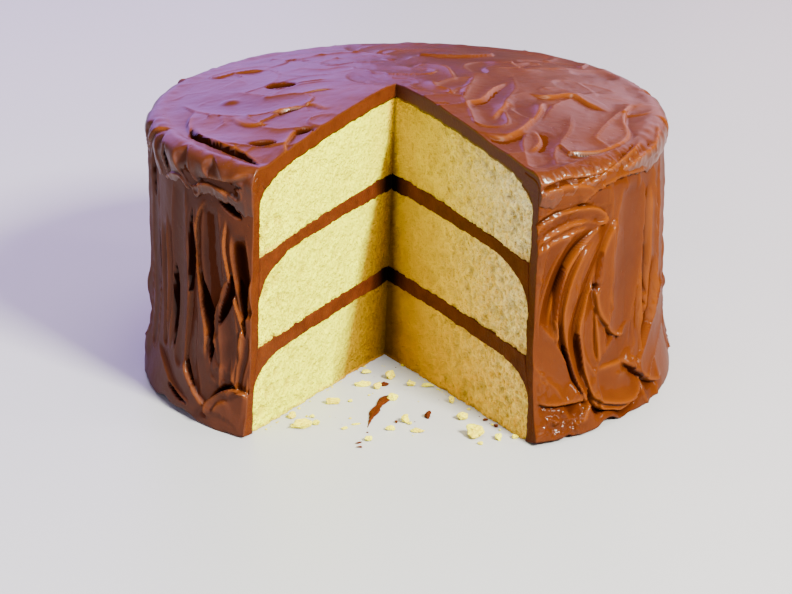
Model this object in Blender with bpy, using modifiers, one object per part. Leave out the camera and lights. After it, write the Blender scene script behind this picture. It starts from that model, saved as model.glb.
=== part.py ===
"""Layer cake with a wedge cut out of it: three sponge layers, two fillings and one coat of frosting.

Metres, +Z up. The cake stands on z = 0, the missing wedge faces -Y, and the origin lies on that
floor under the middle of the cake's box. Every solid is first made about the cake's own axis, and
an empty then carries all of them to that place.
"""

import math
import random
from collections import namedtuple

import bmesh
import bpy
import numpy as np

# Driving dimensions.
PAN_RADIUS = 0.1145  # a 9 inch round pan
CAKE_HEIGHT = 0.117  # height of the frosting at its rim
CLEARANCE = 0.0003  # gap between two solids that touch
SIDE_COAT = 0.0051
SPONGE_RADIUS = 0.1095
BASE_SPONGE_RADIUS = 0.1125
UNDERSIDE_TAPER = 0.0015  # a layer is this much narrower at its underside

# A surface that crosses the cake has a height over the axis and falls by so much to the rim.
Crown = namedtuple("Crown", "height fall")
CROWN_POWER = 1.6
BASE_TOP = Crown(0.0365, 0.0055)
MIDDLE_UNDERSIDE = Crown(0.0425, 0.0055)
MIDDLE_TOP = Crown(0.0805, 0.0060)
UPPER_UNDERSIDE = Crown(0.0870, 0.0095)
UPPER_TOP = Crown(0.1230, 0.0120)
COAT_TOP = Crown(0.1300, 0.0125)

# The upper edge of a layer is round: a quarter of an ellipse, so wide and so deep.
Shoulder = namedtuple("Shoulder", "width drop")
BASE_SHOULDER = Shoulder(0.022, 0.012)
MIDDLE_SHOULDER = Shoulder(0.030, 0.017)
UPPER_SHOULDER = Shoulder(0.020, 0.010)
RIM_SHOULDER = Shoulder(0.007, 0.006)

# The coat spreads a little where it meets what the cake stands on.
FLARE = 0.0050
FLARE_HEIGHT = 0.018

# The wedge. Each cut is an upright plane that leans, seen in plan as a line from the apex to the rim.
APEX = np.array((-0.00765, 0.00255))
LEFT_CUT_ANGLE = math.radians(34.8)
RIGHT_CUT_ANGLE = math.radians(27.75)
LEFT_LEAN = 0.0045
RIGHT_LEAN = -0.0036
CUTTER_REACH = 0.3
CUTTER_BELOW = -0.01
CUTTER_ABOVE = 0.15

# The palette knife's long strokes down the side. Each leaves a floor that rises to a thin crest.
SEED = 7
CREST_COUNT = 25
CREST_FOOT = 0.0018  # how far round the side the drop behind a crest reaches
CREST_SWAY = 0.0050
CREST_DRIFT = 0.0050
CREST_END = (0.004, 0.040)  # height at which the knife left the side
CREST_FADE = 0.012
CREST_RISE = (0.0018, 0.0042)
FLOOR_DEPTH = (0.0004, 0.0016)
StrokeColumn = namedtuple("StrokeColumn", "across rise")  # from one crest to the next, 0 to 1
STROKE_COLUMNS = (StrokeColumn(0, 0), StrokeColumn(0.45, 0.1), StrokeColumn(0.85, 0.5), StrokeColumn(1, 1))

# Its curved strokes on the top.
TOP_RINGS = ((0.088, 12), (0.056, 8), (0.024, 4))  # radius of each ring of strokes, and how many
TOP_STROKE_RADIUS = (0.020, 0.032)
TOP_STROKE_WIDTH = (0.026, 0.038)
TOP_STROKE_SWEEP = math.radians(130)
TOP_STROKE_POINTS = 9
TOP_TROUGH = (-0.0018, 0.0002)
TOP_RIDGE = (0.0022, 0.0038)
RIDGE_POWER = 2.5
STROKE_BLEND = 0.25  # how much of its half width a stroke needs to fade out
TOUCHDOWN = 0.2  # how much of its length a stroke needs to bite
RIM_BLEND = 0.008

# Fineness of the turned shapes.
TURN_STEPS = 48
SHOULDER_POINTS = 4
MIDWAY_RADIUS = 0.060
RIM_POINTS = 3
COAT_STEPS = CREST_COUNT * len(STROKE_COLUMNS)
COAT_SIDE_ROWS = 16
COAT_TOP_ROWS = 12

Stroke = namedtuple("Stroke", "path width trough ridge")


def crown_height(crown, radius):
    """Height of a surface over the floor, so far from the axis."""
    return crown.height - crown.fall * (radius / PAN_RADIUS) ** CROWN_POWER


def rounded_top(crown, shoulder, outer_radius, shift=0.0):
    """Profile of a layer's upper face, from the axis out over its shoulder, moved out and up by shift."""
    inner = outer_radius - shoulder.width
    midway = crown_height(crown, MIDWAY_RADIUS)
    points = [(0.0, crown.height + shift), (MIDWAY_RADIUS + shift, midway + shift)]
    for step in range(SHOULDER_POINTS + 1):
        turn = 0.5 * math.pi * step / SHOULDER_POINTS
        radius = inner + shoulder.width * math.sin(turn)
        height = crown_height(crown, radius) - shoulder.drop * (1 - math.cos(turn))
        points.append((radius + shift, height + shift))
    return points


def underside(crown, outer_radius, shift=0.0):
    """Profile of a layer's lower face, from its edge in to the axis, moved down by shift."""
    return [
        (outer_radius, crown_height(crown, outer_radius) - shift),
        (MIDWAY_RADIUS, crown_height(crown, MIDWAY_RADIUS) - shift),
        (0.0, crown.height - shift),
    ]


def turned(name, profile, collection, steps=TURN_STEPS):
    """An object turned about Z from a profile of (radius, height) points, listed from its top down."""
    mesh = bpy.data.meshes.new(name)
    vertices = [(radius, 0.0, height) for radius, height in profile]
    mesh.from_pydata(vertices, [(k, k + 1) for k in range(len(vertices) - 1)], [])
    turned_object = bpy.data.objects.new(name, mesh)
    collection.objects.link(turned_object)
    screw = turned_object.modifiers.new("turn", "SCREW")
    screw.axis = "Z"
    screw.angle = 2 * math.pi
    screw.steps = steps
    screw.render_steps = steps
    screw.use_merge_vertices = True
    screw.merge_threshold = 0.00001
    return turned_object


def as_mesh(source, name, collection):
    """A mesh object with the shape that the source's modifiers make, in the source's place."""
    graph = bpy.context.evaluated_depsgraph_get()
    mesh = bpy.data.meshes.new_from_object(source.evaluated_get(graph))
    bpy.data.objects.remove(source)
    made = bpy.data.objects.new(name, mesh)
    collection.objects.link(made)
    return made


def subtract(target, cutter):
    """Cuts the cutter's shape out of the target."""
    cut = target.modifiers.new("cut by " + cutter.name, "BOOLEAN")
    cut.operation = "DIFFERENCE"
    cut.solver = "EXACT"
    cut.object = cutter


def rim_direction(angle):
    """Unit vector from the apex to the point of the rim that lies at this angle from -Y."""
    rim = PAN_RADIUS * np.array((math.sin(angle), -math.cos(angle)))
    return (rim - APEX) / np.linalg.norm(rim - APEX)


def apex_at(height):
    """Where the two leaning cuts meet at this height."""
    left = rim_direction(-LEFT_CUT_ANGLE)
    right = rim_direction(RIGHT_CUT_ANGLE)
    into_left = np.array((left[1], -left[0]))
    into_right = np.array((-right[1], right[0]))
    below_middle = 0.5 - height / CAKE_HEIGHT
    return APEX + np.linalg.solve(
        np.array((into_left, into_right)),
        below_middle * np.array((LEFT_LEAN, RIGHT_LEAN)),
    )


def wedge_cutter(collection):
    """The missing wedge: a prism between the triangle under the cake and the one above it."""
    solid = bmesh.new()
    rings = []
    for height in (CUTTER_BELOW, CUTTER_ABOVE):
        apex = apex_at(height)
        corners = (
            apex,
            apex + CUTTER_REACH * rim_direction(-LEFT_CUT_ANGLE),
            apex + CUTTER_REACH * rim_direction(RIGHT_CUT_ANGLE),
        )
        rings.append([solid.verts.new((corner[0], corner[1], height)) for corner in corners])
    lower, upper = rings
    solid.faces.new(reversed(lower))
    solid.faces.new(upper)
    for k in range(3):
        following = (k + 1) % 3
        solid.faces.new((lower[k], lower[following], upper[following], upper[k]))
    mesh = bpy.data.meshes.new("wedge_cutter")
    solid.to_mesh(mesh)
    solid.free()
    cutter = bpy.data.objects.new("wedge_cutter", mesh)
    collection.objects.link(cutter)
    return cutter


def between(draw, limits):
    """A random value between two limits."""
    return limits[0] + (limits[1] - limits[0]) * draw.random()


def swept_side(draw, column, height):
    """Where the side's columns stand round the cake, as angles, and how far out the strokes left them."""
    rows = [
        (
            CREST_SWAY * draw.uniform(-1, 1) / PAN_RADIUS,
            CREST_DRIFT * draw.uniform(-1, 1) / PAN_RADIUS,
            between(draw, CREST_END),
            between(draw, CREST_RISE),
            between(draw, FLOOR_DEPTH),
        )
        for _ in range(CREST_COUNT)
    ]
    sway, drift, end, rise, depth = np.array(rows).T
    crest = column // len(STROKE_COLUMNS)
    shape = np.array(STROKE_COLUMNS)[column % len(STROKE_COLUMNS)]
    level = np.clip(height / CAKE_HEIGHT, 0, 1)
    swing = np.sin(math.pi * level)
    spacing = 2 * math.pi / CREST_COUNT
    this_crest = (crest + 1) * spacing + sway[crest] * swing + drift[crest] * (1 - level)
    last_crest = crest * spacing + sway[crest - 1] * swing + drift[crest - 1] * (1 - level)
    start = last_crest + CREST_FOOT / PAN_RADIUS
    angle = start + shape[:, 0] * (this_crest - start)
    pressed = np.clip((height - end[crest]) / CREST_FADE, 0.2, 1) * (0.5 + 0.5 * swing)
    return angle, pressed * (rise[crest] * shape[:, 1] - depth[crest])


def top_strokes(draw):
    """Curved strokes in rings on the top, as paths of (x, y), the outer ring first."""
    strokes = []
    for ring_radius, count in TOP_RINGS:
        for k in range(count):
            bearing = 2 * math.pi * (k + 0.5 * draw.random()) / count
            centre = ring_radius * np.array((math.cos(bearing), math.sin(bearing)))
            radius = between(draw, TOP_STROKE_RADIUS)
            first = 2 * math.pi * draw.random()
            turn = first + TOP_STROKE_SWEEP * np.linspace(0, 1, TOP_STROKE_POINTS)
            path = centre + radius * np.column_stack((np.cos(turn), np.sin(turn)))
            width = between(draw, TOP_STROKE_WIDTH)
            strokes.append(Stroke(path, width, between(draw, TOP_TROUGH), between(draw, TOP_RIDGE)))
    return strokes


def nearest_on_path(places, path):
    """Distance of each place from a path, and how far along the path its nearest point lies, 0 to 1."""
    run = np.diff(path, axis=0)
    offset = places[:, None, :] - path[:-1]
    along = np.clip((offset * run).sum(axis=2) / (run * run).sum(axis=1), 0, 1)
    distance = np.linalg.norm(offset - along[..., None] * run, axis=2)
    nearest = distance.argmin(axis=1)
    rows = np.arange(len(places))
    return distance[rows, nearest], (nearest + along[rows, nearest]) / len(run)


def knife_relief(places, strokes):
    """Height that the strokes leave at each place. A later stroke wipes out what lies under it."""
    height = np.zeros(len(places))
    for stroke in strokes:
        distance, along = nearest_on_path(places, stroke.path)
        across = distance / (0.5 * stroke.width)
        cover = np.clip((1 + STROKE_BLEND - across) / STROKE_BLEND, 0, 1)
        cover *= np.clip(along / TOUCHDOWN, 0, 1)
        left_behind = stroke.trough + stroke.ridge * np.minimum(across, 1) ** RIDGE_POWER
        height += cover * (left_behind - height)
    return height


def coat_profile():
    """Profile of the coat's outer face, from the axis over the top, down the side and back under it."""
    outer = SPONGE_RADIUS + SIDE_COAT
    flat = outer - RIM_SHOULDER.width
    points = []
    for row in range(COAT_TOP_ROWS):
        radius = flat * row / COAT_TOP_ROWS
        points.append((radius, crown_height(COAT_TOP, radius)))
    for step in range(RIM_POINTS + 1):
        turn = 0.5 * math.pi * step / RIM_POINTS
        radius = flat + RIM_SHOULDER.width * math.sin(turn)
        height = crown_height(COAT_TOP, radius) - RIM_SHOULDER.drop * (1 - math.cos(turn))
        points.append((radius, height))
    side_top = points[-1][1]
    for row in range(1, COAT_SIDE_ROWS + 1):
        height = side_top * (1 - row / COAT_SIDE_ROWS)
        spread = FLARE * math.exp(-((height / FLARE_HEIGHT) ** 1.5))
        points.append((outer + spread, height))
    points.append((0.0, 0.0))
    return points


def work_coat(coat):
    """Moves the coat's skin to where the knife's strokes left it."""
    draw = random.Random(SEED)
    count = len(coat.data.vertices)
    points = np.empty(count * 3, np.float32)
    coat.data.vertices.foreach_get("co", points)
    points = points.reshape(-1, 3).astype(float)
    radius = np.hypot(points[:, 0], points[:, 1])
    even_angle = np.arctan2(points[:, 1], points[:, 0]) % (2 * math.pi)
    column = np.round(even_angle * COAT_STEPS / (2 * math.pi)).astype(int) % COAT_STEPS
    swept_angle, on_side = swept_side(draw, column, points[:, 2])
    outer = SPONGE_RADIUS + SIDE_COAT
    topness = np.clip((outer - radius) / RIM_BLEND, 0, 1)
    turn = (even_angle - swept_angle + math.pi) % (2 * math.pi) - math.pi
    angle = swept_angle + topness * turn
    plan = radius[:, None] * np.column_stack((np.cos(angle), np.sin(angle)))
    on_top = knife_relief(plan, top_strokes(draw))
    underneath = (points[:, 2] < CLEARANCE) & (radius < outer)
    relief = np.where(underneath, 0, on_side + topness * (on_top - on_side))
    outward = plan / np.maximum(radius, CLEARANCE)[:, None]
    points[:, :2] = plan + outward * (relief * (1 - topness))[:, None]
    points[:, 2] += relief * topness
    coat.data.vertices.foreach_set("co", points.astype(np.float32).ravel())
    coat.data.update()


def core_profile():
    """Profile of the space inside the coat, which clears every layer and filling."""
    shoulder_foot = crown_height(BASE_TOP, BASE_SPONGE_RADIUS) - BASE_SHOULDER.drop
    return rounded_top(UPPER_TOP, UPPER_SHOULDER, SPONGE_RADIUS, CLEARANCE) + [
        (SPONGE_RADIUS + CLEARANCE, crown_height(MIDDLE_UNDERSIDE, SPONGE_RADIUS)),
        (BASE_SPONGE_RADIUS + CLEARANCE, shoulder_foot),
        (BASE_SPONGE_RADIUS + CLEARANCE, CUTTER_BELOW),
        (0.0, CUTTER_BELOW),
    ]


def food_material(name, colour, roughness):
    """A Principled material of one colour."""
    material = bpy.data.materials.new(name)
    material.use_nodes = True
    shader = material.node_tree.nodes["Principled BSDF"]
    shader.inputs["Base Color"].default_value = (*colour, 1.0)
    shader.inputs["Roughness"].default_value = roughness
    shader.inputs["Metallic"].default_value = 0.0
    material.diffuse_color = (*colour, 1.0)
    return material


def dress(node, material):
    """Gives a node its material and smooth shading with sharp cut edges."""
    node.data.materials.clear()
    node.data.materials.append(material)
    node.data.shade_smooth()
    node.data.set_sharp_from_angle(angle=math.radians(35))


def centre_on_origin(nodes, cutters, collection):
    """Carries every object so that the middle of the cake's box stands over the origin."""
    graph = bpy.context.evaluated_depsgraph_get()
    corners = np.array([corner for node in nodes for corner in node.evaluated_get(graph).bound_box])
    middle = 0.5 * (corners.min(axis=0) + corners.max(axis=0))
    carrier = bpy.data.objects.new("cake_origin", None)
    collection.objects.link(carrier)
    for carried in nodes + cutters:
        carried.parent = carrier
    carrier.location = (-middle[0], -middle[1], 0.0)


def sponge_profiles():
    """The profile of each sponge layer by its node's name."""
    narrow = SPONGE_RADIUS - UNDERSIDE_TAPER
    return {
        "sponge_bottom": rounded_top(BASE_TOP, BASE_SHOULDER, BASE_SPONGE_RADIUS)
        + [(BASE_SPONGE_RADIUS, 0.0), (0.0, 0.0)],
        "sponge_middle": rounded_top(MIDDLE_TOP, MIDDLE_SHOULDER, SPONGE_RADIUS)
        + underside(MIDDLE_UNDERSIDE, narrow),
        "sponge_top": rounded_top(UPPER_TOP, UPPER_SHOULDER, SPONGE_RADIUS)
        + underside(UPPER_UNDERSIDE, narrow),
    }


def filling_profiles():
    """The profile of each filling: it fills the space between two layers, round the lower one's shoulder."""
    spaces = {
        "filling_lower": (MIDDLE_UNDERSIDE, BASE_TOP, BASE_SHOULDER, BASE_SPONGE_RADIUS - CLEARANCE),
        "filling_upper": (UPPER_UNDERSIDE, MIDDLE_TOP, MIDDLE_SHOULDER, SPONGE_RADIUS - CLEARANCE),
    }
    profiles = {}
    for name, (ceiling, floor, shoulder, radius) in spaces.items():
        edge = SPONGE_RADIUS - UNDERSIDE_TAPER
        above = list(reversed(underside(ceiling, edge, CLEARANCE)))
        below = list(reversed(rounded_top(floor, shoulder, radius, CLEARANCE)))
        profiles[name] = above + below
    return profiles


def build():
    """Makes the six nodes of the cake."""
    for old in list(bpy.data.objects):
        bpy.data.objects.remove(old)
    cake = bpy.data.collections.new("layer_cake")
    tools = bpy.data.collections.new("cutters")
    bpy.context.scene.collection.children.link(cake)
    bpy.context.scene.collection.children.link(tools)

    wedge = wedge_cutter(tools)
    core = turned("core_cutter", core_profile(), tools)
    nodes = []
    sponge = food_material("yellow_sponge", (0.76, 0.58, 0.21), 0.85)
    for name, profile in sponge_profiles().items():
        nodes.append(turned(name, profile, cake))
        dress(nodes[-1], sponge)
    filling = food_material("chocolate_filling", (0.17, 0.06, 0.028), 0.5)
    for name, profile in filling_profiles().items():
        nodes.append(turned(name, profile, cake))
        dress(nodes[-1], filling)

    coat = as_mesh(turned("coat_form", coat_profile(), cake, COAT_STEPS), "frosting", cake)
    work_coat(coat)
    dress(coat, food_material("chocolate_frosting", (0.22, 0.075, 0.032), 0.35))
    subtract(coat, core)
    nodes.append(coat)
    for node in nodes:
        subtract(node, wedge)
    for cutter in (wedge, core):
        cutter.hide_render = True
        cutter.display_type = "WIRE"
    centre_on_origin(nodes, [wedge, core], cake)


build()
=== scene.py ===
"""Looks of the layer cake: swept chocolate frosting, open yellow crumb, fillings, crumbs and a plain studio.

Sizes are metres unless a name says mm. Strokes of the palette knife are laid out in millimetres on
the coat unrolled flat, which is how a decorator would mark them.
"""

import logging
import math
from dataclasses import dataclass, field, replace
from enum import Enum
from functools import reduce
from typing import ClassVar

import bmesh
import bpy
import numpy as np
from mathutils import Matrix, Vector


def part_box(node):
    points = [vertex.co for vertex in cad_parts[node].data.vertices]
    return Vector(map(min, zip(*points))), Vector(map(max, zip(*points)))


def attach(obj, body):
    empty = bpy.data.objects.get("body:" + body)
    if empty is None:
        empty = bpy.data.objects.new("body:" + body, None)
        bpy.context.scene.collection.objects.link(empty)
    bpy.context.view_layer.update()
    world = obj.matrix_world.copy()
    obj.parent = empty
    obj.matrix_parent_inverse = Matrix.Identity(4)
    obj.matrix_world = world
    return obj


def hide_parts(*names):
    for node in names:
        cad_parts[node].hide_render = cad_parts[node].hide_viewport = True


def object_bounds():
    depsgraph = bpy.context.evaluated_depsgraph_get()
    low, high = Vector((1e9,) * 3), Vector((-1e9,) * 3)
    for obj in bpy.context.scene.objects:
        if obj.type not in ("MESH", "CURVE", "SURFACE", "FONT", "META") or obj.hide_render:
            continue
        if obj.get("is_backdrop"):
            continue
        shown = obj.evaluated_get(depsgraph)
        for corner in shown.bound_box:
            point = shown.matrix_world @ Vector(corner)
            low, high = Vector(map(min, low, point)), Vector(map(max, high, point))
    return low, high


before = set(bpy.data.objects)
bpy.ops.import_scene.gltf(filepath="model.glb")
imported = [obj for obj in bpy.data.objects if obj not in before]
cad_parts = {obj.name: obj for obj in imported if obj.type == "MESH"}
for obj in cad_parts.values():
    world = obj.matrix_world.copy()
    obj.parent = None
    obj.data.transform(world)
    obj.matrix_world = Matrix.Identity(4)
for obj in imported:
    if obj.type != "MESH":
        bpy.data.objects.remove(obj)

CAD_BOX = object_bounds()
BODY = "root"
MM = 0.001
LOG = logging.getLogger("layer_cake")

Array = np.ndarray
Values = dict[str, Array]
Pair = tuple[float, float]
Colour = tuple[float, float, float]
Material = bpy.types.Material
Object = bpy.types.Object
Socket = bpy.types.NodeSocket


class Slot(Enum):
    """The three looks that a piece can belong to."""

    SPONGE = "sponge"
    FILLING = "filling"
    FROSTING = "frosting"


# ---------------------------------------------------------------------------------------------
# Noise


def hashed(cells: Array, seed: int) -> Array:
    """Mixes whole-number cell addresses into even random values from 0 to 1.

    Args:
        cells: Whole numbers, with one address along the last axis.
        seed: Which family of values to draw.

    Returns:
        One value for each address.
    """
    state = np.full(cells.shape[:-1], seed * 2654435761 % 4294967296, np.uint64)
    for axis in range(cells.shape[-1]):
        state ^= (cells[..., axis].astype(np.int64) & 0xFFFFFFFF).astype(np.uint64)
        state = (state * np.uint64(2246822519)) & np.uint64(0xFFFFFFFF)
        state ^= state >> np.uint64(13)
        state = (state * np.uint64(3266489917)) & np.uint64(0xFFFFFFFF)
        state ^= state >> np.uint64(16)
    return state.astype(float) / 4294967295.0


def noise(places: Array, size: float, seed: int) -> Array:
    """Smooth value noise: random corner values of a lattice, blended by a smooth step along each axis.

    Args:
        places: Points, with their coordinates along the last axis.
        size: Edge of a lattice cell, in the points' own unit.
        seed: Which noise to draw.

    Returns:
        A value from -1 to 1 for each point.
    """
    scaled = np.asarray(places, float) / size
    low = np.floor(scaled)
    part = scaled - low
    part = part * part * (3 - 2 * part)
    total = np.zeros(scaled.shape[:-1])
    for corner in range(2 ** scaled.shape[-1]):
        offset = np.array([corner >> axis & 1 for axis in range(scaled.shape[-1])])
        weight = np.where(offset == 1, part, 1 - part).prod(axis=-1)
        total += weight * hashed(low + offset, seed)
    return 2 * total - 1


def cell_pits(places: Array, size: float, seed: int, share: float) -> Array:
    """Round pits, one in some of the cells of a lattice: one minus the distance to the nearest pit's middle.

    Args:
        places: Points, with their coordinates along the last axis.
        size: Edge of a lattice cell, in the points' own unit.
        seed: Which pits to draw.
        share: The part of all cells that holds a pit, 0 to 1.

    Returns:
        0 outside every pit, rising to 1 in a pit's middle.
    """
    scaled = np.asarray(places, float) / size
    home = np.floor(scaled)
    dimensions = scaled.shape[-1]
    deepest = np.zeros(scaled.shape[:-1])
    for neighbour in np.ndindex(*(3,) * dimensions):
        cell = home + np.array(neighbour) - 1
        middle = cell + np.stack([hashed(cell, seed + 11 * (axis + 1)) for axis in range(dimensions)], -1)
        reach = 0.35 + 0.6 * hashed(cell, seed + 101)
        apart = np.linalg.norm(scaled - middle, axis=-1) / reach
        held = hashed(cell, seed + 211) < share
        deepest = np.maximum(deepest, np.where(held, 1 - apart, 0))
    return np.clip(deepest, 0, 1)


def smooth_step(value: Array) -> Array:
    """Eases a value from 0 to 1, level at both ends."""
    held = np.clip(value, 0, 1)
    return held * held * (3 - 2 * held)


def turned(places: Array, angle: Array) -> Array:
    """Turns places in plan to the left about the origin, by an angle in radians."""
    x, y = places[..., 0], places[..., 1]
    return np.stack((x * np.cos(angle) - y * np.sin(angle), x * np.sin(angle) + y * np.cos(angle)), -1)


# ---------------------------------------------------------------------------------------------
# The cake's plan and section


@dataclass(frozen=True)
class Crown:
    """A surface that crosses the cake: so high over the axis, and falling by so much to the rim."""

    height: float
    fall: float
    pan_radius: float = 0.1145
    power: float = 1.6

    def at(self, radius: Array) -> Array:
        """Height so far from the axis: the fall grows as a power of the radius."""
        return self.height - self.fall * (np.abs(radius) / self.pan_radius) ** self.power


@dataclass(frozen=True)
class Shoulder:
    """A layer's round upper edge, a quarter of an ellipse."""

    width: float
    drop: float

    def fall(self, radius: Array, outer: float) -> Array:
        """How far the edge has dropped at a radius: the ellipse's depth below its flat top."""
        past = np.clip((radius - (outer - self.width)) / self.width, 0, 1)
        return self.drop * (1 - np.sqrt(np.clip(1 - past * past, 0, 1)))


@dataclass(frozen=True)
class Plan:
    """The sizes that the cake's pieces share: the axis and two radii worked out from the frame's own boxes,
    and the rest given.
    """

    axis: Pair
    sponge_radius: float
    base_radius: float
    pan_radius: float = 0.1145
    cake_height: float = 0.117
    side_coat: float = 0.0051
    flare: float = 0.0050
    flare_height: float = 0.018
    rim: Shoulder = Shoulder(0.007, 0.006)
    coat_top: Crown = Crown(0.1300, 0.0125)
    upper_top: Crown = Crown(0.1230, 0.0120)
    upper_underside: Crown = Crown(0.0870, 0.0095)
    middle_top: Crown = Crown(0.0805, 0.0060)
    middle_underside: Crown = Crown(0.0425, 0.0055)
    base_top: Crown = Crown(0.0365, 0.0055)
    upper_shoulder: Shoulder = Shoulder(0.020, 0.010)
    middle_shoulder: Shoulder = Shoulder(0.030, 0.017)
    base_shoulder: Shoulder = Shoulder(0.022, 0.012)
    apex: Pair = (-0.00765, 0.00255)
    left_cut: float = math.radians(34.8)
    right_cut: float = math.radians(27.75)
    left_lean: float = 0.0045
    right_lean: float = -0.0036

    @classmethod
    def from_frame(cls) -> "Plan":
        """Reads the cake's axis and the layers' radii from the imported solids' boxes."""
        low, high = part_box("sponge_top")
        radius = 0.5 * (high.x - low.x)
        base_low, base_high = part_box("sponge_bottom")
        return cls(
            axis=(0.5 * (low.x + high.x), high.y - radius),
            sponge_radius=radius,
            base_radius=0.5 * (base_high.x - base_low.x),
        )

    @property
    def coat_radius(self) -> float:
        """Radius of the coat's wall."""
        return self.sponge_radius + self.side_coat

    def rim_direction(self, angle: float) -> Array:
        """Unit vector from the wedge's apex to the rim at this angle from -Y."""
        rim = self.pan_radius * np.array((math.sin(angle), -math.cos(angle)))
        run = rim - np.array(self.apex)
        return run / np.linalg.norm(run)

    def apex_at(self, height: Array) -> Array:
        """Where the two leaning cuts meet, from the cake's axis: both cut lines shift by their lean.

        Args:
            height: Heights over the floor.

        Returns:
            The meeting point for each height, with x and y along the last axis.
        """
        left = self.rim_direction(-self.left_cut)
        right = self.rim_direction(self.right_cut)
        normals = np.array(((left[1], -left[0]), (-right[1], right[0])))
        shift = np.linalg.solve(normals, np.array((self.left_lean, self.right_lean)))
        below_middle = 0.5 - np.asarray(height) / self.cake_height
        return np.array(self.apex) + below_middle[..., None] * shift

    def turns(self, count: int, crowding: float) -> Array:
        """Directions from the left cut round the back to the right cut, closer together by the cuts.

        Args:
            count: How many steps to take.
            crowding: 0 for even steps, up to 0.6 for steps that are much smaller near the cuts.

        Returns:
            Angles from -Y towards -X, in radians.
        """
        left = self.rim_direction(-self.left_cut)
        right = self.rim_direction(self.right_cut)
        first = math.atan2(-left[0], -left[1])
        last = 2 * math.pi + math.atan2(-right[0], -right[1])
        even = np.linspace(0, 1, count + 1)
        return first + (last - first) * (even - crowding * np.sin(2 * math.pi * even) / (2 * math.pi))

    def on_ray(self, turn: Array, radius: Array, height: Array) -> Array:
        """Point where the ray from the apex reaches this radius about the axis: apex plus run along the ray.

        Args:
            turn: Direction of the ray, from -Y towards -X.
            radius: Distance from the cake's axis.
            height: Height over the floor.

        Returns:
            Points in the frame, with x, y and z along the last axis.
        """
        turn, radius, height = np.broadcast_arrays(turn, radius, height)
        direction = np.stack((-np.sin(turn), -np.cos(turn)), -1)
        apex = self.apex_at(height)
        along = (apex * direction).sum(-1)
        spare = np.maximum(along**2 - (apex**2).sum(-1) + radius**2, 0)
        run = np.maximum(np.sqrt(spare) - along, 0)
        plan = np.array(self.axis) + apex + run[..., None] * direction
        return np.concatenate((plan, height[..., None]), -1)

    def along_ray(self, turn: Array, part: Array, rim: Array, height: Array) -> Array:
        """Point that lies a part of the way from the apex to where the ray reaches the rim radius.

        Args:
            turn: Direction of the ray, from -Y towards -X.
            part: 0 at the apex to 1 at the rim radius.
            rim: The rim radius, from the cake's axis.
            height: Height over the floor.

        Returns:
            Points in the frame.
        """
        turn, part, rim, height = np.broadcast_arrays(turn, part, rim, height)
        end = self.on_ray(turn, rim, height)
        start = np.array(self.axis) + self.apex_at(height)
        plan = start + part[..., None] * (end[..., :2] - start)
        return np.concatenate((plan, height[..., None]), -1)

    def radius_of(self, points: Array) -> Array:
        """Distance of points from the cake's axis."""
        return np.hypot(points[..., 0] - self.axis[0], points[..., 1] - self.axis[1])

    def unrolled(self, points: Array) -> Array:
        """Place round the side in mm, growing to the right as seen from outside, and 0 straight in front."""
        bearing = np.arctan2(self.axis[0] - points[..., 0], self.axis[1] - points[..., 1])
        return -np.where(bearing < 0, bearing + 2 * math.pi, bearing) * self.pan_radius / MM

    def cut_normal(self, right: bool) -> Array:
        """Unit normal of a cut face, which points into the missing wedge.

        Args:
            right: True for the right cut, False for the left one.

        Returns:
            The normal.
        """
        angle, lean = (self.right_cut, self.right_lean) if right else (-self.left_cut, self.left_lean)
        way = self.rim_direction(angle)
        outward = np.array((way[1], -way[0])) if right else np.array((-way[1], way[0]))
        normal = np.array((outward[0], outward[1], -lean / self.cake_height))
        return normal / np.linalg.norm(normal)


# ---------------------------------------------------------------------------------------------
# Meshes from grids


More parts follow.
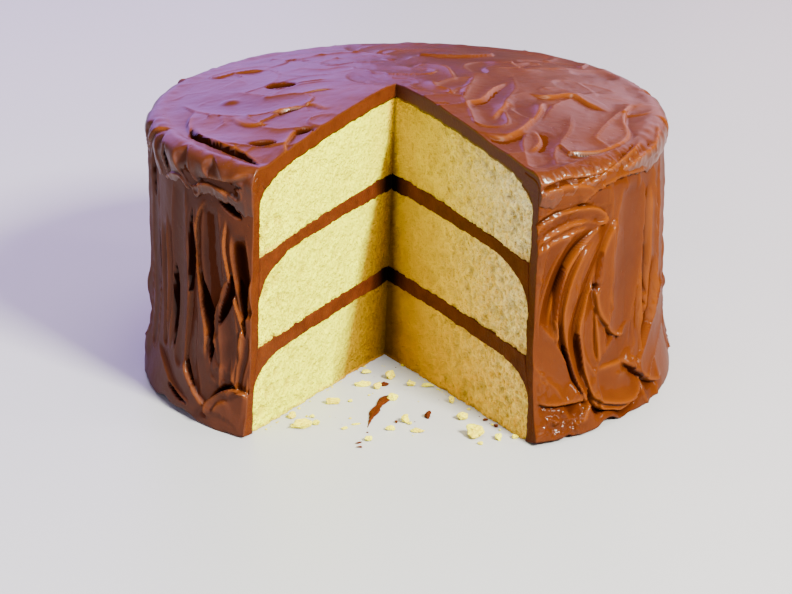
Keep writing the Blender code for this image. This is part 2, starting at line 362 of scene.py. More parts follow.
class Patchwork:
    """Grids of points, sewn where they coincide into one closed mesh with values at its points."""

    SEAM = 1e-6

    def __init__(self) -> None:
        """Starts with nothing in it."""
        self.points: list[Array] = []
        self.values: list[dict[str, Array]] = []
        self.quads: list[Array] = []
        self.rings: list[list[int]] = []
        self.count = 0

    def add(self, points: Array, **values: Array) -> Array:
        """Adds a grid and its faces.

        Args:
            points: Rows by columns by 3.
            **values: Named values, one for each point, or one vector for each point.

        Returns:
            The grid's point numbers, rows by columns.
        """
        rows, columns = points.shape[:2]
        ids = self.count + np.arange(rows * columns).reshape(rows, columns)
        self.count += rows * columns
        self.points.append(points.reshape(-1, 3))
        self.values.append(values)
        corners = (ids[:-1, :-1], ids[:-1, 1:], ids[1:, 1:], ids[1:, :-1])
        self.quads.append(np.stack(corners, -1).reshape(-1, 4))
        return ids

    def bridge(self, fine: Array, coarse: Array) -> None:
        """Closes the strip between a fine edge and a coarse one with one face for each coarse step.

        Args:
            fine: Point numbers along the fine edge.
            coarse: Point numbers along the coarse edge.
        """
        ratio = (len(fine) - 1) // (len(coarse) - 1)
        for step in range(len(coarse) - 1):
            run = fine[step * ratio : (step + 1) * ratio + 1].tolist()
            self.rings.append(run + [int(coarse[step + 1]), int(coarse[step])])

    def build(self, name: str) -> Object:
        """Sews the grids and makes the object.

        Args:
            name: The object's name.

        Returns:
            The object, closed, with its faces outwards, smooth, and its values as point attributes.
        """
        points = np.concatenate(self.points)
        keys = np.round(points / self.SEAM).astype(np.int64)
        _, first, index = np.unique(keys, axis=0, return_index=True, return_inverse=True)
        index = index.reshape(-1)
        quads = index[np.concatenate(self.quads)]
        following = np.roll(quads, -1, axis=1)
        same = quads == following
        whole = quads[same.sum(axis=1) == 0]
        pinched = quads[same.sum(axis=1) == 1]
        kept = ~same[same.sum(axis=1) == 1]
        triangles = pinched[kept].reshape(-1, 3)
        faces = whole.tolist() + triangles.tolist()
        for ring in self.rings:
            sewn = [int(index[k]) for k in ring]
            sewn = [k for n, k in enumerate(sewn) if k != sewn[n - 1]]
            if len(sewn) > 2:
                faces.append(sewn)
        mesh = bpy.data.meshes.new(name)
        mesh.from_pydata(points[first].tolist(), [], faces)
        solid = bmesh.new()
        solid.from_mesh(mesh)
        bmesh.ops.recalc_face_normals(solid, faces=solid.faces)
        solid.to_mesh(mesh)
        solid.free()
        for value in sorted({value for held in self.values for value in held}):
            store(mesh, value, self._stacked(value)[first])
        mesh.shade_smooth()
        return placed(name, mesh)

    def _stacked(self, name: str) -> Array:
        """Joins one named value for all points, with 0 in grids that don't hold it.

        Args:
            name: The value's name.

        Returns:
            The value at every point, grid after grid.
        """
        width = next(held[name].shape[2:] for held in self.values if name in held)
        stacked = []
        for grid, held in zip(self.points, self.values):
            empty = np.zeros((len(grid), *width))
            stacked.append(held.get(name, empty).reshape(empty.shape))
        return np.concatenate(stacked)


def placed(name: str, data: bpy.types.ID) -> Object:
    """A new object in the scene that shows this mesh, lamp or camera."""
    made = bpy.data.objects.new(name, data)
    bpy.context.scene.collection.objects.link(made)
    return made


def store(mesh: bpy.types.Mesh, name: str, values: Array) -> None:
    """Writes a value or a vector for each point as an attribute of the mesh."""
    kind, slot = ("FLOAT_VECTOR", "vector") if values.ndim == 2 else ("FLOAT", "value")
    mesh.attributes.new(name, kind, "POINT").data.foreach_set(slot, values.astype(np.float32).ravel())


def read(rows: bpy.types.bpy_prop_collection, name: str, kind: type, width: int = 1) -> Array:
    """One property of all rows of a mesh, as a flat array."""
    found = np.empty(len(rows) * width, kind)
    rows.foreach_get(name, found)
    return found


def points_of(mesh: bpy.types.Mesh) -> Array:
    """The mesh's points as rows of x, y and z."""
    return read(mesh.vertices, "co", np.float32, 3).reshape(-1, 3).astype(float)


def set_points(mesh: bpy.types.Mesh, points: Array) -> None:
    """Moves the mesh's points to these places."""
    mesh.vertices.foreach_set("co", points.astype(np.float32).ravel())
    mesh.update()


# ---------------------------------------------------------------------------------------------
# Strokes of the palette knife


def curve_through(marks: Array, steps: int) -> Array:
    """A smooth curve through marks: a Catmull-Rom spline, whose tangent at a mark joins its neighbours.

    Args:
        marks: Two or more points, as rows.
        steps: How many points to take between two marks.

    Returns:
        The curve's points, as rows.
    """
    marks = np.asarray(marks, float)
    padded = np.vstack((2 * marks[0] - marks[1], marks, 2 * marks[-1] - marks[-2]))
    part = np.linspace(0, 1, steps, endpoint=False)[:, None]
    runs = []
    for before, start, end, after in zip(padded, padded[1:], padded[2:], padded[3:]):
        square = 2 * before - 5 * start + 4 * end - after
        cube = 3 * (start - end) + after - before
        runs.append(0.5 * (2 * start + (end - before) * part + square * part**2 + cube * part**3))
    return np.vstack(runs + [marks[-1:]])


@dataclass(frozen=True)
class Wave:
    """A wave of noise over a sheet: its height and size in mm, and its seed."""

    height: float
    size: float
    seed: int


@dataclass
class Sheet:
    """A coat laid out flat: each point's place in mm, and what the strokes have made of it so far."""

    GRAIN: ClassVar[float] = 0.05
    GRAIN_SIZE: ClassVar[float] = 2.3

    place: Array
    height: Array = field(init=False)
    shift: Array = field(init=False)
    # crest: painted highlight above 0 and painted shade below 0, which the strokes lay down.
    crest: Array = field(init=False)
    streak: Array = field(init=False)

    def __post_init__(self) -> None:
        """Starts level, with streaks that follow the sheet itself."""
        count = len(self.place)
        self.height = np.zeros(count)
        self.shift = np.zeros((count, 2))
        self.crest = np.zeros(count)
        self.streak = self.place.copy()

    def near(self, path: Array, reach: float) -> Array:
        """Numbers of the points that lie in the path's box, widened by reach."""
        low = path.min(axis=0) - reach
        high = path.max(axis=0) + reach
        return np.flatnonzero(((self.place > low) & (self.place < high)).all(axis=1))

    def press(self, strokes: "list[Stroke]", waves: tuple[Wave, ...], grain: int | None = None) -> None:
        """Lays waves of noise, presses strokes over them in order, and roughens the result.

        Args:
            strokes: The strokes.
            waves: The waves.
            grain: Seed of the fine grain, if the sheet has one.
        """
        self.height += sum(wave.height * noise(self.place, wave.size, wave.seed) for wave in waves)
        for stroke in strokes:
            stroke.press(self)
        if grain is not None:
            self.height += self.GRAIN * noise(self.place, self.GRAIN_SIZE, grain)

    def from_path(self, chosen: Array, path: Array) -> tuple[Array, Array, Array]:
        """Measures points against a path: the nearest of its straight steps, by clamped projection.

        Args:
            chosen: Numbers of the points to measure.
            path: The path's points, as rows.

        Returns:
            The distance, positive to the left of the path; the part of the path passed, 0 to 1; and
            the unit vector that points left there.
        """
        run = np.diff(path, axis=0)
        offset = self.place[chosen][:, None, :] - path[:-1]
        along = np.clip((offset * run).sum(-1) / (run * run).sum(-1), 0, 1)
        gap = offset - along[..., None] * run
        apart = np.sqrt((gap * gap).sum(-1))
        step = apart.argmin(axis=1)
        rows = np.arange(len(chosen))
        passed = along[rows, step]
        left = np.stack((-run[:, 1], run[:, 0]), -1) / np.linalg.norm(run, axis=1)[:, None]
        side = np.where((gap[rows, step] * left[step]).sum(-1) < 0, -1.0, 1.0)
        at_marks = np.vstack((left[:1], left[:-1] + left[1:], left[-1:]))
        at_marks /= np.linalg.norm(at_marks, axis=1)[:, None]
        turned = at_marks[step] * (1 - passed)[:, None] + at_marks[step + 1] * passed[:, None]
        return side * apart[rows, step], (step + passed) / len(run), turned


@dataclass(frozen=True)
class PathStroke:
    """A stroke along a smooth path through its marks."""

    STEPS: ClassVar[int] = 8

    marks: tuple[Pair, ...]

    @property
    def path(self) -> Array:
        """The path's points, as rows."""
        return curve_through(self.marks, self.STEPS)

    def measure(self, sheet: Sheet, reach: float) -> tuple[Array, Array, Array, Array]:
        """Numbers of the points within reach of the path's box, and what Sheet.from_path says of them."""
        chosen = sheet.near(self.path, reach)
        return chosen, *sheet.from_path(chosen, self.path)


@dataclass(frozen=True)
class Swipe(PathStroke):
    """One stroke: a shallow trough whose floor bends up to raised edges, over whatever was there."""

    # Widths in mm of the bead along the edge, of the fade beside it, and of the painted highlight line on it.
    BEAD: ClassVar[float] = 0.9
    FADE: ClassVar[float] = 0.7
    GLINT: ClassVar[float] = 1.1
    # How the streaks shrink along and across the stroke, which draws them out, and their sizes in mm.
    DRAWN_OUT: ClassVar[Pair] = (0.05, 1.0)
    STREAK_SIZES: ClassVar[Pair] = (1.3, 2.9)
    SEED_GAP: ClassVar[float] = 31.0
    END_WIDTH: ClassVar[float] = 0.75

    width: float
    level: float = -0.6
    bowl: float = 1.4
    lean: float = 0.0
    edge: float = 0.5
    streaks: float = 0.015
    touchdown: float = 0.25
    seed: int = 0

    def press(self, sheet: Sheet) -> None:
        """Wipes the sheet: floor plus a bowl that grows as a power of the place across, plus an edge bead.

        Args:
            sheet: The sheet to press into.
        """
        chosen, apart, along, _ = self.measure(sheet, 0.5 * self.width + 1)
        swell = np.sin(math.pi * np.clip(along * 1.2, 0, 1))
        half = 0.5 * self.width * (self.END_WIDTH + (1 - self.END_WIDTH) * swell)
        across = np.abs(apart) / half
        to_edge = (1 - across) * half
        length = np.linalg.norm(np.diff(self.path, axis=0), axis=1).sum()
        streak = np.stack((along * length, apart + self.SEED_GAP * self.seed), -1)
        drawn = streak * np.array(self.DRAWN_OUT)
        fine, broad = self.STREAK_SIZES
        lines = noise(drawn, fine, self.seed) + 0.7 * noise(drawn, broad, self.seed + 5)
        floor = self.level + self.bowl * np.clip(across, 0, 1) ** 2.4 + self.lean * apart / half
        floor += self.edge * np.exp(-((to_edge / self.BEAD) ** 2)) + self.streaks * lines
        cover = np.clip(to_edge / self.FADE, 0, 1) * smooth_step(along / self.touchdown)
        sheet.height[chosen] += cover * (floor - sheet.height[chosen])
        # Painted highlight: the stroke wipes out the painted light under it and paints a bright line along
        # its edge bead.
        sheet.crest[chosen] *= 1 - cover
        bright = cover * np.exp(-((to_edge / self.GLINT) ** 2)) * min(1.0, 0.35 * (self.bowl + self.edge))
        sheet.crest[chosen] += bright * (1 - sheet.crest[chosen])
        taken = cover > 0.5
        sheet.streak[chosen[taken]] = streak[taken]


@dataclass(frozen=True)
class Fold(PathStroke):
    """A lip where one stroke laps over another: the sheet rises to a thin crest and drops behind it."""

    # Widths in mm of the part that slides over the groove, and of the painted highlight on the crest.
    SLIDING: ClassVar[float] = 2.2
    GLINT: ClassVar[float] = 0.9

    rise: float = 1.8
    drop: float = 1.8
    reach: float = 5.0
    recover: float = 4.0
    side: int = 1
    overhang: float = 0.8
    fade_in: float = 0.25
    fade_out: float = 0.25
    face: float = 1.5

    def press(self, sheet: Sheet) -> None:
        """Adds the lip: an exponential rise to the crest, a face leaning over, and a groove that fills again.

        Args:
            sheet: The sheet to press into.
        """
        chosen, apart, along, left = self.measure(sheet, 3 * max(self.reach, self.recover))
        into = apart * self.side
        strength = smooth_step(along / self.fade_in) * smooth_step((1 - along) / self.fade_out)
        inside = np.clip(into, 0, None)
        outside = np.clip(-into - self.face, 0, None)
        raised = self.rise * np.exp(-((inside / self.reach) ** 0.9))
        groove = -self.drop * np.exp(-outside / self.recover)
        face = smooth_step(1 + into / self.face)
        sheet.height[chosen] += strength * (groove + face * (raised - groove))
        lip = np.where(into > 0, np.exp(-((inside / self.SLIDING) ** 2)), face)
        sheet.shift[chosen] -= (self.overhang * self.side * strength * lip)[:, None] * left
        # Painted highlight along the crest.
        bright = np.exp(-((into / self.GLINT) ** 2))
        sheet.crest[chosen] += strength * bright * (1 - sheet.crest[chosen])


@dataclass(frozen=True)
class Gash(PathStroke):
    """A deep slit under a lip, pointed at both ends, that little light reaches, with painted shade in it."""

    # How steeply the walls and the edge of the painted shade fall, and how far the painted shade runs, in
    # half widths.
    WALL_STEEP: ClassVar[float] = 1.25
    SHADE_STEEP: ClassVar[float] = 2.6
    SHADE_REACH: ClassVar[float] = 1.15
    # Half widths, as parts of the whole, from which the slit gets painted shade and from which it has its
    # full depth.
    SHADED_FROM: ClassVar[float] = 0.12
    DEEP_FROM: ClassVar[float] = 0.3
    NARROWEST: ClassVar[float] = 0.05

    width: float = 4.0
    depth: float = 3.2
    shade: float = 0.9

    def press(self, sheet: Sheet) -> None:
        """Cuts the slit: a smooth step deeper towards its middle line, with a half width that follows a sine.

        Args:
            sheet: The sheet to press into.
        """
        chosen, apart, along, _ = self.measure(sheet, self.width)
        half = 0.5 * self.width * np.sin(math.pi * np.clip(along, 0.001, 0.999)) ** 0.7
        across = np.abs(apart) / np.maximum(half, self.NARROWEST)
        inside = smooth_step(self.WALL_STEEP * (1 - across))
        sheet.height[chosen] -= self.depth * inside * np.clip(half / (self.DEEP_FROM * self.width), 0, 1)
        # Painted shade in the slit, as a crest below 0.
        shaded = half > self.SHADED_FROM * self.width
        dark = smooth_step(self.SHADE_STEEP * (self.SHADE_REACH - across)) * shaded
        sheet.crest[chosen] -= dark * (sheet.crest[chosen] + self.shade)


@dataclass(frozen=True)
class Spot:
    """A stroke about one place, within an ellipse that may be stretched to both sides."""

    middle: Pair
    radius: float
    height: float
    stretch: float = 1.0

    def measure(self, sheet: Sheet, reach: float) -> tuple[Array, Array]:
        """Measures points against the ellipse.

        Args:
            sheet: The sheet to press into.
            reach: How many radii from the middle a point may lie.

        Returns:
            The points' numbers and the squares of their distances, which are 1 on the ellipse.
        """
        middle = np.array(self.middle)
        chosen = sheet.near(middle[None], reach * self.radius * max(1.0, self.stretch))
        offset = (sheet.place[chosen] - middle) / np.array((self.radius * self.stretch, self.radius))
        return chosen, (offset**2).sum(-1)


@dataclass(frozen=True)
class Dab(Spot):
    """A pit, if its height is below 0, or a blob."""

    # Below which height a pit gets painted shade, and how much wider the painted shade is than the pit.
    DARK_BELOW: ClassVar[float] = -2
    DARK_WIDTH: ClassVar[float] = 1.7

    steep: float = 1.5

    def press(self, sheet: Sheet) -> None:
        """Adds a bell: height times the exponential of minus a power of the distance. A deep pit gets painted
        shade.

        Args:
            sheet: The sheet to press into.
        """
        chosen, square = self.measure(sheet, 2.5)
        sheet.height[chosen] += self.height * np.exp(-(square**self.steep))
        if self.height < self.DARK_BELOW:
            wide = np.exp(-((square / self.DARK_WIDTH) ** self.steep))
            sheet.crest[chosen] -= wide * (sheet.crest[chosen] + Gash.shade)


@dataclass(frozen=True)
class Rough(Spot):
    """A patch of lumpy frosting."""

    seed: int = 0
    lump: float = 3.4
    # How much painted shade lies between the lumps.
    shade: float = 0.0

    def press(self, sheet: Sheet) -> None:
        """Adds lumps, noise of two sizes under a bell, whose upper halves stand out more than the lower sink.

        Args:
            sheet: The sheet to press into.
        """
        chosen, square = self.measure(sheet, 2.0)
        places = sheet.place[chosen]
        lumps = noise(places, self.lump, self.seed) + 0.6 * noise(places, 0.45 * self.lump, self.seed + 1)
        bell = np.exp(-(square**2))
        sheet.height[chosen] += self.height * np.maximum(lumps, 0.4 * lumps) * bell
        # Painted shade between the lumps.
        sheet.crest[chosen] -= self.shade * bell * (1 - np.clip(lumps, 0, 1))


Stroke = Swipe | Fold | Gash | Dab | Rough
ROUND = 2 * math.pi * Plan.pan_radius / MM


def round_side(degrees: float, height: float) -> Pair:
    """A mark on the unrolled side, from its bearing off the front, to the right, and its height in mm."""
    turned = degrees if degrees < 0 else degrees - 360
    return math.radians(turned) * Plan.pan_radius / MM, height


def on_side(strokes: tuple[Stroke, ...]) -> list[Stroke]:
    """Moves strokes of the wall from bearings and heights to places on the unrolled side.

    Args:
        strokes: Strokes whose marks are pairs of a bearing in degrees and a height in mm.

    Returns:
        The same strokes with their marks in mm.
    """
    moved: list[Stroke] = []
    for stroke in strokes:
        if isinstance(stroke, Spot):
            moved.append(replace(stroke, middle=round_side(*stroke.middle)))
        else:
            moved.append(replace(stroke, marks=tuple(round_side(*mark) for mark in stroke.marks)))
    return moved


# The strokes beside the wedge, by bearing and height.
LEFT_STROKES = (
    Swipe(((-91, 112), (-91, 80), (-90, 50), (-88, 18)),
          20, -0.6, 1.4, edge=0.3, touchdown=0.1, streaks=0.004, seed=198),
    Swipe(((-82, 112), (-81, 80), (-82, 50), (-84, 22)),
          17, -0.9, 1.6, edge=0.4, touchdown=0.1, streaks=0.004, seed=199),
    Swipe(((-73, 112), (-73, 80), (-73, 50), (-75, 22)),
          15, -1.0, 1.7, edge=0.4, touchdown=0.1, streaks=0.004, seed=200),
    Swipe(((-66, 84), (-66.4, 66), (-66.4, 46), (-67, 26)), 9, -1.4, 1.8, edge=0.4, streaks=0.004, seed=206),
    Swipe(((-58, 104), (-58.4, 80), (-58, 50), (-58.6, 24)),
          15, -0.7, 1.3, edge=0.2, touchdown=0.08, streaks=0.004, seed=201),
    Swipe(((-53, 60), (-53, 44), (-53.4, 30), (-51, 14)), 9, -0.3, 1.0, edge=0.1, seed=203),
    Swipe(((-46.6, 99), (-46.4, 80), (-45.8, 62), (-46.6, 44)),
          15, -1.2, 1.6, edge=0.2, touchdown=0.08, seed=202),
    Swipe(((-41.6, 58), (-41.6, 46), (-41.4, 34), (-42, 20)),
          12, -0.3, 1.3, edge=0.2, touchdown=0.1, seed=204),
    Swipe(((-38.4, 90), (-38.0, 80), (-37.2, 68), (-36.4, 56)),
          11, -2.6, 3.4, edge=0.5, touchdown=0.25, seed=205),
    Swipe(((-36.4, 48), (-36.6, 38), (-37.8, 28), (-38.2, 20)), 6, -0.8, 1.6, edge=0.7, seed=207),
    Fold(((-64.6, 88), (-63.9, 70), (-64.0, 50), (-66.2, 24)), 1.0, 0.8, 3.0, 2.5, -1, 0.4),
    Gash(((-71.0, 88), (-70.6, 68), (-70.4, 46)), 6.5, 4.6),
    Fold(((-61.4, 66), (-62.0, 52), (-63.2, 38), (-64.6, 22)), 1.0, 0.8, 3.0, 2.5, -1, 0.4),
    Gash(((-60.6, 66), (-60.9, 48), (-61.6, 25)), 5.5, 3.0),
    Fold(((-52, 97), (-52.9, 79), (-53.8, 64), (-55.2, 47), (-56.4, 32), (-56.0, 20), (-52.6, 11)),
         0.7, 1.6, 4.5, 2.5, -1, 0.4, 0.15, 0.2),
    Gash(((-52.9, 95), (-53.4, 78), (-54.2, 54)), 4.4, 2.8),
    Fold(((-47.4, 101), (-50.6, 94), (-52, 84), (-51.4, 68), (-49.8, 52), (-48.6, 39), (-49.0, 28)),
         1.3, 0.9, 1.6, 3, -1, 0.5, 0.12, 0.1, 0.7),
    Gash(((-50.6, 69), (-48.6, 55), (-47.0, 43), (-46.9, 27)), 6.6, 4.6),
    Fold(((-41.6, 95), (-42.4, 84), (-41.6, 73), (-39.8, 61), (-38.1, 51), (-37.2, 44)),
         1.4, 0.8, 1.5, 3, -1, 0.5, 0.12, 0.12, 0.7),
    Gash(((-38.6, 70), (-37.1, 57), (-36.6, 44)), 4.0, 4.6),
    Fold(((-41.3, 69), (-43.1, 60), (-45.2, 52), (-45.8, 44), (-45.2, 36), (-44.2, 27)),
         1.3, 0.9, 1.5, 2.5, 1, 0.5, 0.08, 0.3, 0.7),
    Gash(((-40.4, 72), (-40.6, 62), (-42.2, 55), (-44.4, 46)), 5.4, 3.4),
    Fold(((-33.8, 76), (-35.4, 64), (-36.4, 53), (-37.6, 42), (-38.2, 30)),
         1.8, 0.9, 1.8, 2.2, 1, 0.5, 0.3, 0.25, 1.2),
    Fold(((-40.7, 36), (-40.2, 26), (-38.8, 20), (-37, 18.5), (-36.1, 22), (-36.0, 29)),
         1.1, 0.8, 1.3, 1.6, 1, 0.4, 0.3, 0.3, 1.0),
    Fold(((-35, 18), (-38.0, 18.6), (-40.8, 18), (-44.0, 14), (-46.4, 9), (-45.8, 3)),
         2.4, 1.8, 5, 2.5, 1, 1.0, 0.1, 0.15),
    Gash(((-39, 20.4), (-43, 17.6), (-47.2, 10)), 3.2, 2.4),
    Fold(((-40, 14), (-43, 11), (-44.6, 6)), 0.9, 1.0, 2, 2, 1, 0.4),
    Fold(((-57, 24), (-54.6, 17), (-50.8, 10.5), (-46.8, 6)), 1.2, 1.0, 4, 3, -1, 0.6, 0.25, 0.2),
    Gash(((-56.4, 26), (-54.6, 20), (-52.2, 13.5)), 3.0, 3.4),
    Fold(((-72, 22), (-66, 16), (-59, 9), (-52, 5)), 0.8, 0.8, 5, 4, -1, 0.4),
    Gash(((-62, 10), (-57.5, 6.4), (-53, 3.6)), 3.0, 3.0),
    Gash(((-43.8, 102.8), (-40.4, 100.5), (-37.0, 97)), 5.4, 4.6),
    Gash(((-74.6, 108), (-74.8, 98), (-74.4, 88)), 3.2, 4.0),
    Rough((-44, 24), 5, 0.8, 1.4, 211),
    Dab((-86, 38), 7, 1.6),
    Dab((-82, 14), 7, 2.0),
)
RIGHT_STROKES = (
    Swipe(((79, 112), (78, 88), (77, 60), (79, 34)), 22, -0.3, 1.0, edge=0.3, seed=301),
    Swipe(((58, 104), (57, 86), (55.4, 62), (52, 36)), 27, -1.0, 1.7, edge=0.3, touchdown=0.1, seed=302),
    Swipe(((52, 96), (43, 92), (36.4, 80), (32.4, 66), (30.6, 48), (31, 30)),
          12, -0.5, 1.1, edge=0.2, streaks=0.36, seed=303),
    Swipe(((49, 90), (43, 84), (37.6, 72), (35.0, 56), (35.4, 40), (38.4, 22)),
          7.5, -1.0, 1.2, edge=0.3, streaks=0.26, seed=304),
    Swipe(((48, 84), (43.6, 74), (39.8, 60), (37.8, 46), (38.6, 32), (41, 20)),
          7.5, -0.8, 1.3, edge=0.3, streaks=0.22, seed=310),
    Swipe(((46, 76), (43.6, 62), (42.0, 48), (42.4, 34), (46, 22)),
          8, -0.6, 1.2, edge=0.3, streaks=0.16, seed=311),
    Swipe(((26, 92), (32, 97), (39, 99), (46, 95)),
          12, -1.0, 1.2, edge=0.3, streaks=0.8, touchdown=0.05, seed=305),
    Swipe(((26, 112), (31, 107), (37, 106), (43, 106)), 9, -0.2, 0.3, edge=0.1, streaks=0.22, seed=306),
    Swipe(((26, 54), (30, 40), (33.6, 30), (36, 22)), 15, -0.4, 1.0, edge=0.3, seed=307),
    Swipe(((31.0, 94), (29.0, 84), (27.8, 70), (27.4, 56)), 7, 0.1, 0.5, edge=0.2, streaks=0.4, seed=312),
    Swipe(((62, 38), (54, 32), (47.6, 22), (50, 14.5), (56, 13)), 17, -0.4, 0.9, edge=0.1, seed=308),
    Swipe(((84, 46), (78, 36), (68, 25), (62, 18)), 17, 0.7, 0.7, edge=0.6, seed=309),
    Dab((36.6, 107), 5.5, 1.0, 1.5),
    Fold(((38.5, 103), (41, 105.5), (45, 108.5), (53, 110), (62, 107.5), (70, 105)),
         1.5, 1.1, 4, 3, 1, 0.8, 0.1, 0.3),
    Fold(((29.6, 103), (30.4, 108.5), (34.4, 111.6), (39.6, 110.4), (43.6, 107)), 1.0, 1.2, 4, 3, -1, 0.6),
    Fold(((26.6, 92), (30, 96.5), (35.5, 100), (43, 98.6), (46.6, 95), (47.2, 92), (44.4, 91)),
         1.3, 1.1, 3, 3, -1, 0.6, 0.1, 0.1),
    Fold(((28, 88), (32, 92), (37, 94.4), (43, 93.6)), 0.7, 0.7, 2, 2, -1, 0.3),
    Fold(((26.8, 84), (31.4, 87.4), (37, 90.4), (43, 91)), 0.8, 0.8, 3, 2, -1, 0.3),
    Fold(((45, 89), (39.4, 82), (35.2, 72), (32.4, 60), (31, 46)), 0.9, 0.8, 5, 4, 1, 0.5, 0.3, 0.3),
    Fold(((48, 92), (42.4, 86), (37.4, 79), (34.5, 69), (33.2, 56), (33.0, 46)),
         1.5, 1.7, 4, 3.5, 1, 0.9, 0.3, 0.15),
    Gash(((35.8, 77), (34.0, 68), (32.9, 52)), 3.4, 1.4, 0.45),
    Fold(((46, 87), (41, 80), (37.6, 70), (35.6, 56), (36, 44), (37.8, 31), (39.6, 20), (41.2, 14)),
         1.3, 1.5, 4, 3, 1, 0.9, 0.25, 0.08),
    Gash(((35.6, 42), (37.4, 30), (39.6, 17)), 3.4, 2.0, 0.7),
    Fold(((47, 80), (43.4, 67), (40.6, 55), (39.4, 46), (40.2, 36), (41.6, 25), (44, 15), (49, 9.5),
          (55, 7.5), (59, 10), (61, 16)), 1.6, 1.7, 4.5, 2.8, 1, 1.1, 0.2, 0.08),
    Gash(((39.0, 46), (39.4, 37), (40.7, 23)), 3.2, 1.5, 0.6),
    Fold(((51, 91), (48.4, 85), (46.2, 77), (45.0, 70), (44.2, 63)), 1.7, 1.2, 5, 3, 1, 0.8, 0.1, 0.1),
    Gash(((46.4, 79), (45.2, 71), (44.1, 63)), 3.0, 1.3, 0.4),
    Fold(((44.2, 64), (45.0, 55), (47.4, 46), (51, 39.4), (55, 37)), 1.3, 1.5, 6, 3.5, 1, 0.8, 0.08, 0.15),
    Fold(((66.9, 100), (66.9, 84), (66.9, 68), (66.6, 52), (65.4, 38)), 1.9, 1.9, 5, 3, 1, 1.1, 0.2, 0.08),
    Gash(((65.6, 74), (65.6, 56), (65.2, 40)), 3.4, 1.2, 0.42),
    Fold(((74, 98), (73, 80), (72.6, 58), (71.6, 40)), 0.8, 1.0, 4, 3, -1, 0.4),
    Fold(((52.6, 27), (56.6, 20.6), (60.6, 14.6), (67, 8), (73, 6)), 2.0, 1.8, 7, 3, 1, 1.1, 0.15, 0.3),
    Gash(((54.0, 24.4), (58.0, 17.8), (63, 10.4)), 2.6, 2.4, 0.7),
    Fold(((44.6, 26), (50, 25), (55, 24.4)), 0.6, 0.6, 3, 3, -1, 0.3),
    Fold(((27.5, 19.5), (32, 17.2), (38, 16), (42, 15.6)), 1.7, 2.0, 5, 3, 1, 1.0, 0.2, 0.1),
    Dab((38.0, 20), 3, 1.0, 1.3),
    Fold(((43.2, 17), (44.6, 10.5), (48.4, 6), (54, 5), (58, 7)), 1.2, 1.8, 3, 3, 1, 0.7, 0.1, 0.2),
    Gash(((42.6, 13), (44, 7.5), (49.4, 4)), 3.0, 2.6, 0.8),
    Fold(((43, 14), (40.4, 8), (38.2, 4)), 1.4, 1.4, 3, 3, 1, 0.7),
    Rough((34, 7), 7, 1.9, 1.6, 311, 3.0, 0.3),
    Rough((28.8, 74), 12, 0.55, 0.3, 313, 2.0),
    Rough((29.4, 24), 9, 0.5, 0.35, 314, 2.0),
    Rough((33, 97), 6, 0.5, 2.0, 316, 2.0),
    Rough((48, 110), 4, 1.0, 3.4, 315, 2.4),
    Dab((44.2, 63.4), 1.5, -2.4),
    Dab((89, 38), 4, 2.4),
)
